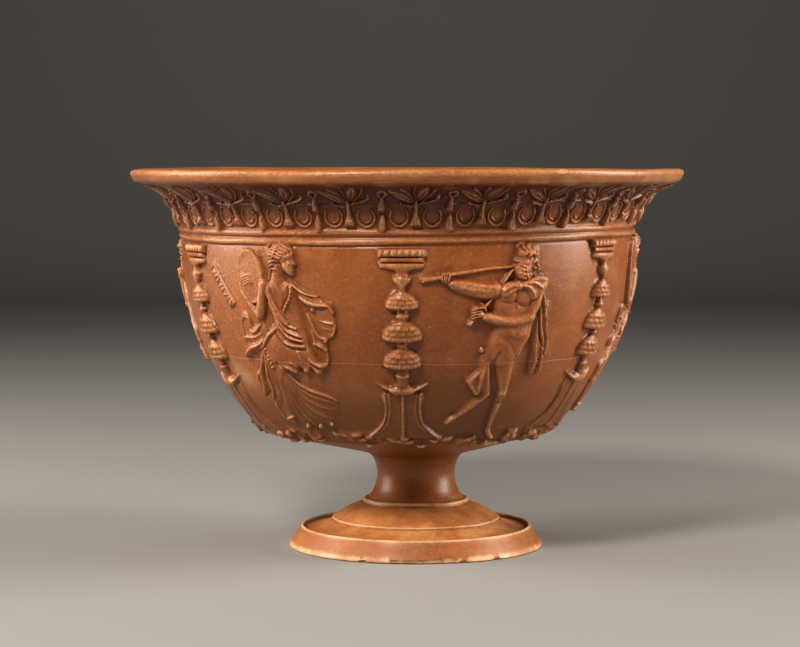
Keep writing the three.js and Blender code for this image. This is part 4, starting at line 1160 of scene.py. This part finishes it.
# The high relief is lightened towards a pale rubbed colour: partly real wear, partly a painted highlight.
rubbing_and_highlight = crest_wear_and_highlight.ramp(0.1, 0.95) * (0.12 + 0.25 * mottle + 0.52 * grain.ramp(0.38, 0.64))
base = rubbing_and_highlight.over(base, colour(RUBBED_AND_HIGHLIGHT))
foot_rub = crest_wear_and_highlight.ramp(0.25, 0.8) * z.ramp(0.021, 0.0195) * (0.12 + mottle.ramp(0.36, 0.62) * 0.75)
base = foot_rub.over(base, colour(BARE_CLAY))
lip_rub = z.near(0.1385, 0.003) * mottle.ramp(0.5, 0.66) * outside
plate_rub = z.near(0.0085, 0.004) * clouds.ramp(0.42, 0.6) * mottle.ramp(0.36, 0.66)
plate_rub = plate_rub * grain.ramp(0.32, 0.62)
bloom = angle.ramp(-0.3, -0.95) * angle.ramp(-1.7, -1.3) * z.ramp(0.05, 0.07)
bloom = bloom * grain.ramp(0.5, 0.7) * outside
yellow_patch = angle.near(-0.95, 0.15) * z.near(0.069, 0.011) * mottle.ramp(0.38, 0.6) * outside
patches = place.maths("MAXIMUM", lip_rub * 0.55, plate_rub * 0.6)
patches = place.maths("MAXIMUM", patches, bloom * 0.3)
patches = place.maths("MAXIMUM", patches, yellow_patch * 0.65)
base = patches.over(base, colour(OCHRE))
base = place.maths("MAXIMUM", chipped.ramp(0.05, 0.4) * 0.8, breaks * 0.6).over(base, colour(OCHRE))
gloss = 0.3 + mottle * 0.12 + grain.ramp(0.4, 0.7) * 0.12
gloss = gloss + patches * 0.25 + chipped * 0.3 + on_foot * 0.12
height = grain * 0.75 + mottle * 0.4 + wheel * 0.35 - breaks * 1.5
bump = place.node("ShaderNodeBump", Strength=0.35, Distance=0.0004, Height=height)
tree.links.new(base.socket, shader.inputs["Base Color"])
tree.links.new(gloss.socket, shader.inputs["Roughness"])
tree.links.new(bump.socket, shader.inputs["Normal"])
shader.inputs["Specular IOR Level"].default_value = 0.5
shader.inputs["Coat Weight"].default_value = 0.2
shader.inputs["Coat Roughness"].default_value = 0.3
for part in fired_parts:
    part.data.materials.append(slip)

# The studio: a pale paper sweep under three soft lamps. A tall one stands on each side of the
# bowl, and a smaller one hangs in front of it, high on the left.
FLOOR_HALF = 3.0
SWEEP_BACK = 1.6
SWEEP_BEND = 0.6
PAPER = (0.36, 0.355, 0.348)
paper_line = [(-FLOOR_HALF, 0.0), (SWEEP_BACK, 0.0)]
for turn in np.linspace(0.1, math.pi / 2, 12):
    paper_line.append((SWEEP_BACK + SWEEP_BEND * math.sin(turn), SWEEP_BEND - SWEEP_BEND * math.cos(turn)))
paper_line.append((SWEEP_BACK + SWEEP_BEND, 2.5))
paper_corners = [(side * FLOOR_HALF, back, up) for back, up in paper_line for side in (-1, 1)]
paper_faces = [(2 * i, 2 * i + 1, 2 * i + 3, 2 * i + 2) for i in range(len(paper_line) - 1)]
paper_mesh = bpy.data.meshes.new("paper_sweep")
paper_mesh.from_pydata(paper_corners, [], paper_faces)
paper_mesh.polygons.foreach_set("use_smooth", np.ones(len(paper_faces), bool))
paper = bpy.data.objects.new("paper_sweep", paper_mesh)
bpy.context.scene.collection.objects.link(paper)
paper_finish = bpy.data.materials.new("pale_paper")
paper_finish.use_nodes = True
paper_shader = paper_finish.node_tree.nodes["Principled BSDF"]
paper_shader.inputs["Base Color"].default_value = colour(PAPER)
paper_shader.inputs["Roughness"].default_value = 0.9
paper_mesh.materials.append(paper_finish)
AIM = Vector((0, 0, 0.075))
LAMP_WARMTH = (1.0, 0.94, 0.86)
LAMPS = [("left_lamp", (-0.9, 0.05, 0.4), 0.45, 0.8, 8.0),
         ("right_lamp", (0.9, -0.02, 0.4), 0.45, 0.8, 10.0),
         ("front_lamp", (-0.42, -0.85, 0.85), 0.26, 0.26, 10.5)]
for name, spot, wide, tall, watts in LAMPS:
    lamp = bpy.data.lights.new(name, "AREA")
    lamp.shape = "RECTANGLE"
    lamp.size = wide
    lamp.size_y = tall
    lamp.energy = watts
    lamp.color = LAMP_WARMTH
    holder = bpy.data.objects.new(name, lamp)
    holder.location = spot
    holder.rotation_euler = (AIM - Vector(spot)).to_track_quat("-Z", "Y").to_euler()
    bpy.context.scene.collection.objects.link(holder)
world = bpy.data.worlds.new("studio_air")
world.use_nodes = True
world.node_tree.nodes["Background"].inputs["Color"].default_value = (0.5, 0.5, 0.5, 1)
world.node_tree.nodes["Background"].inputs["Strength"].default_value = 0.02
bpy.context.scene.world = world

# The camera: a long lens nearly a metre from the bowl and just above its lip, looking down by a
# few degrees at the bowl's middle.
CAMERA_PLACE = (0.0004, -0.930, 0.1475)
CAMERA_PITCH = 3.88
CAMERA_PAN = 0.187
LENS = 110.4
lens = bpy.data.cameras.new("photo_camera")
lens.lens = LENS
lens.sensor_width = 36.0
camera = bpy.data.objects.new("photo_camera", lens)
camera.location = CAMERA_PLACE
camera.rotation_euler = (math.radians(90 - CAMERA_PITCH), 0, math.radians(CAMERA_PAN))
bpy.context.scene.collection.objects.link(camera)
bpy.context.scene.camera = camera
bpy.context.scene.view_settings.view_transform = "Standard"
bpy.context.scene.view_settings.exposure = 0.35
bpy.context.scene.view_settings.gamma = 0.8
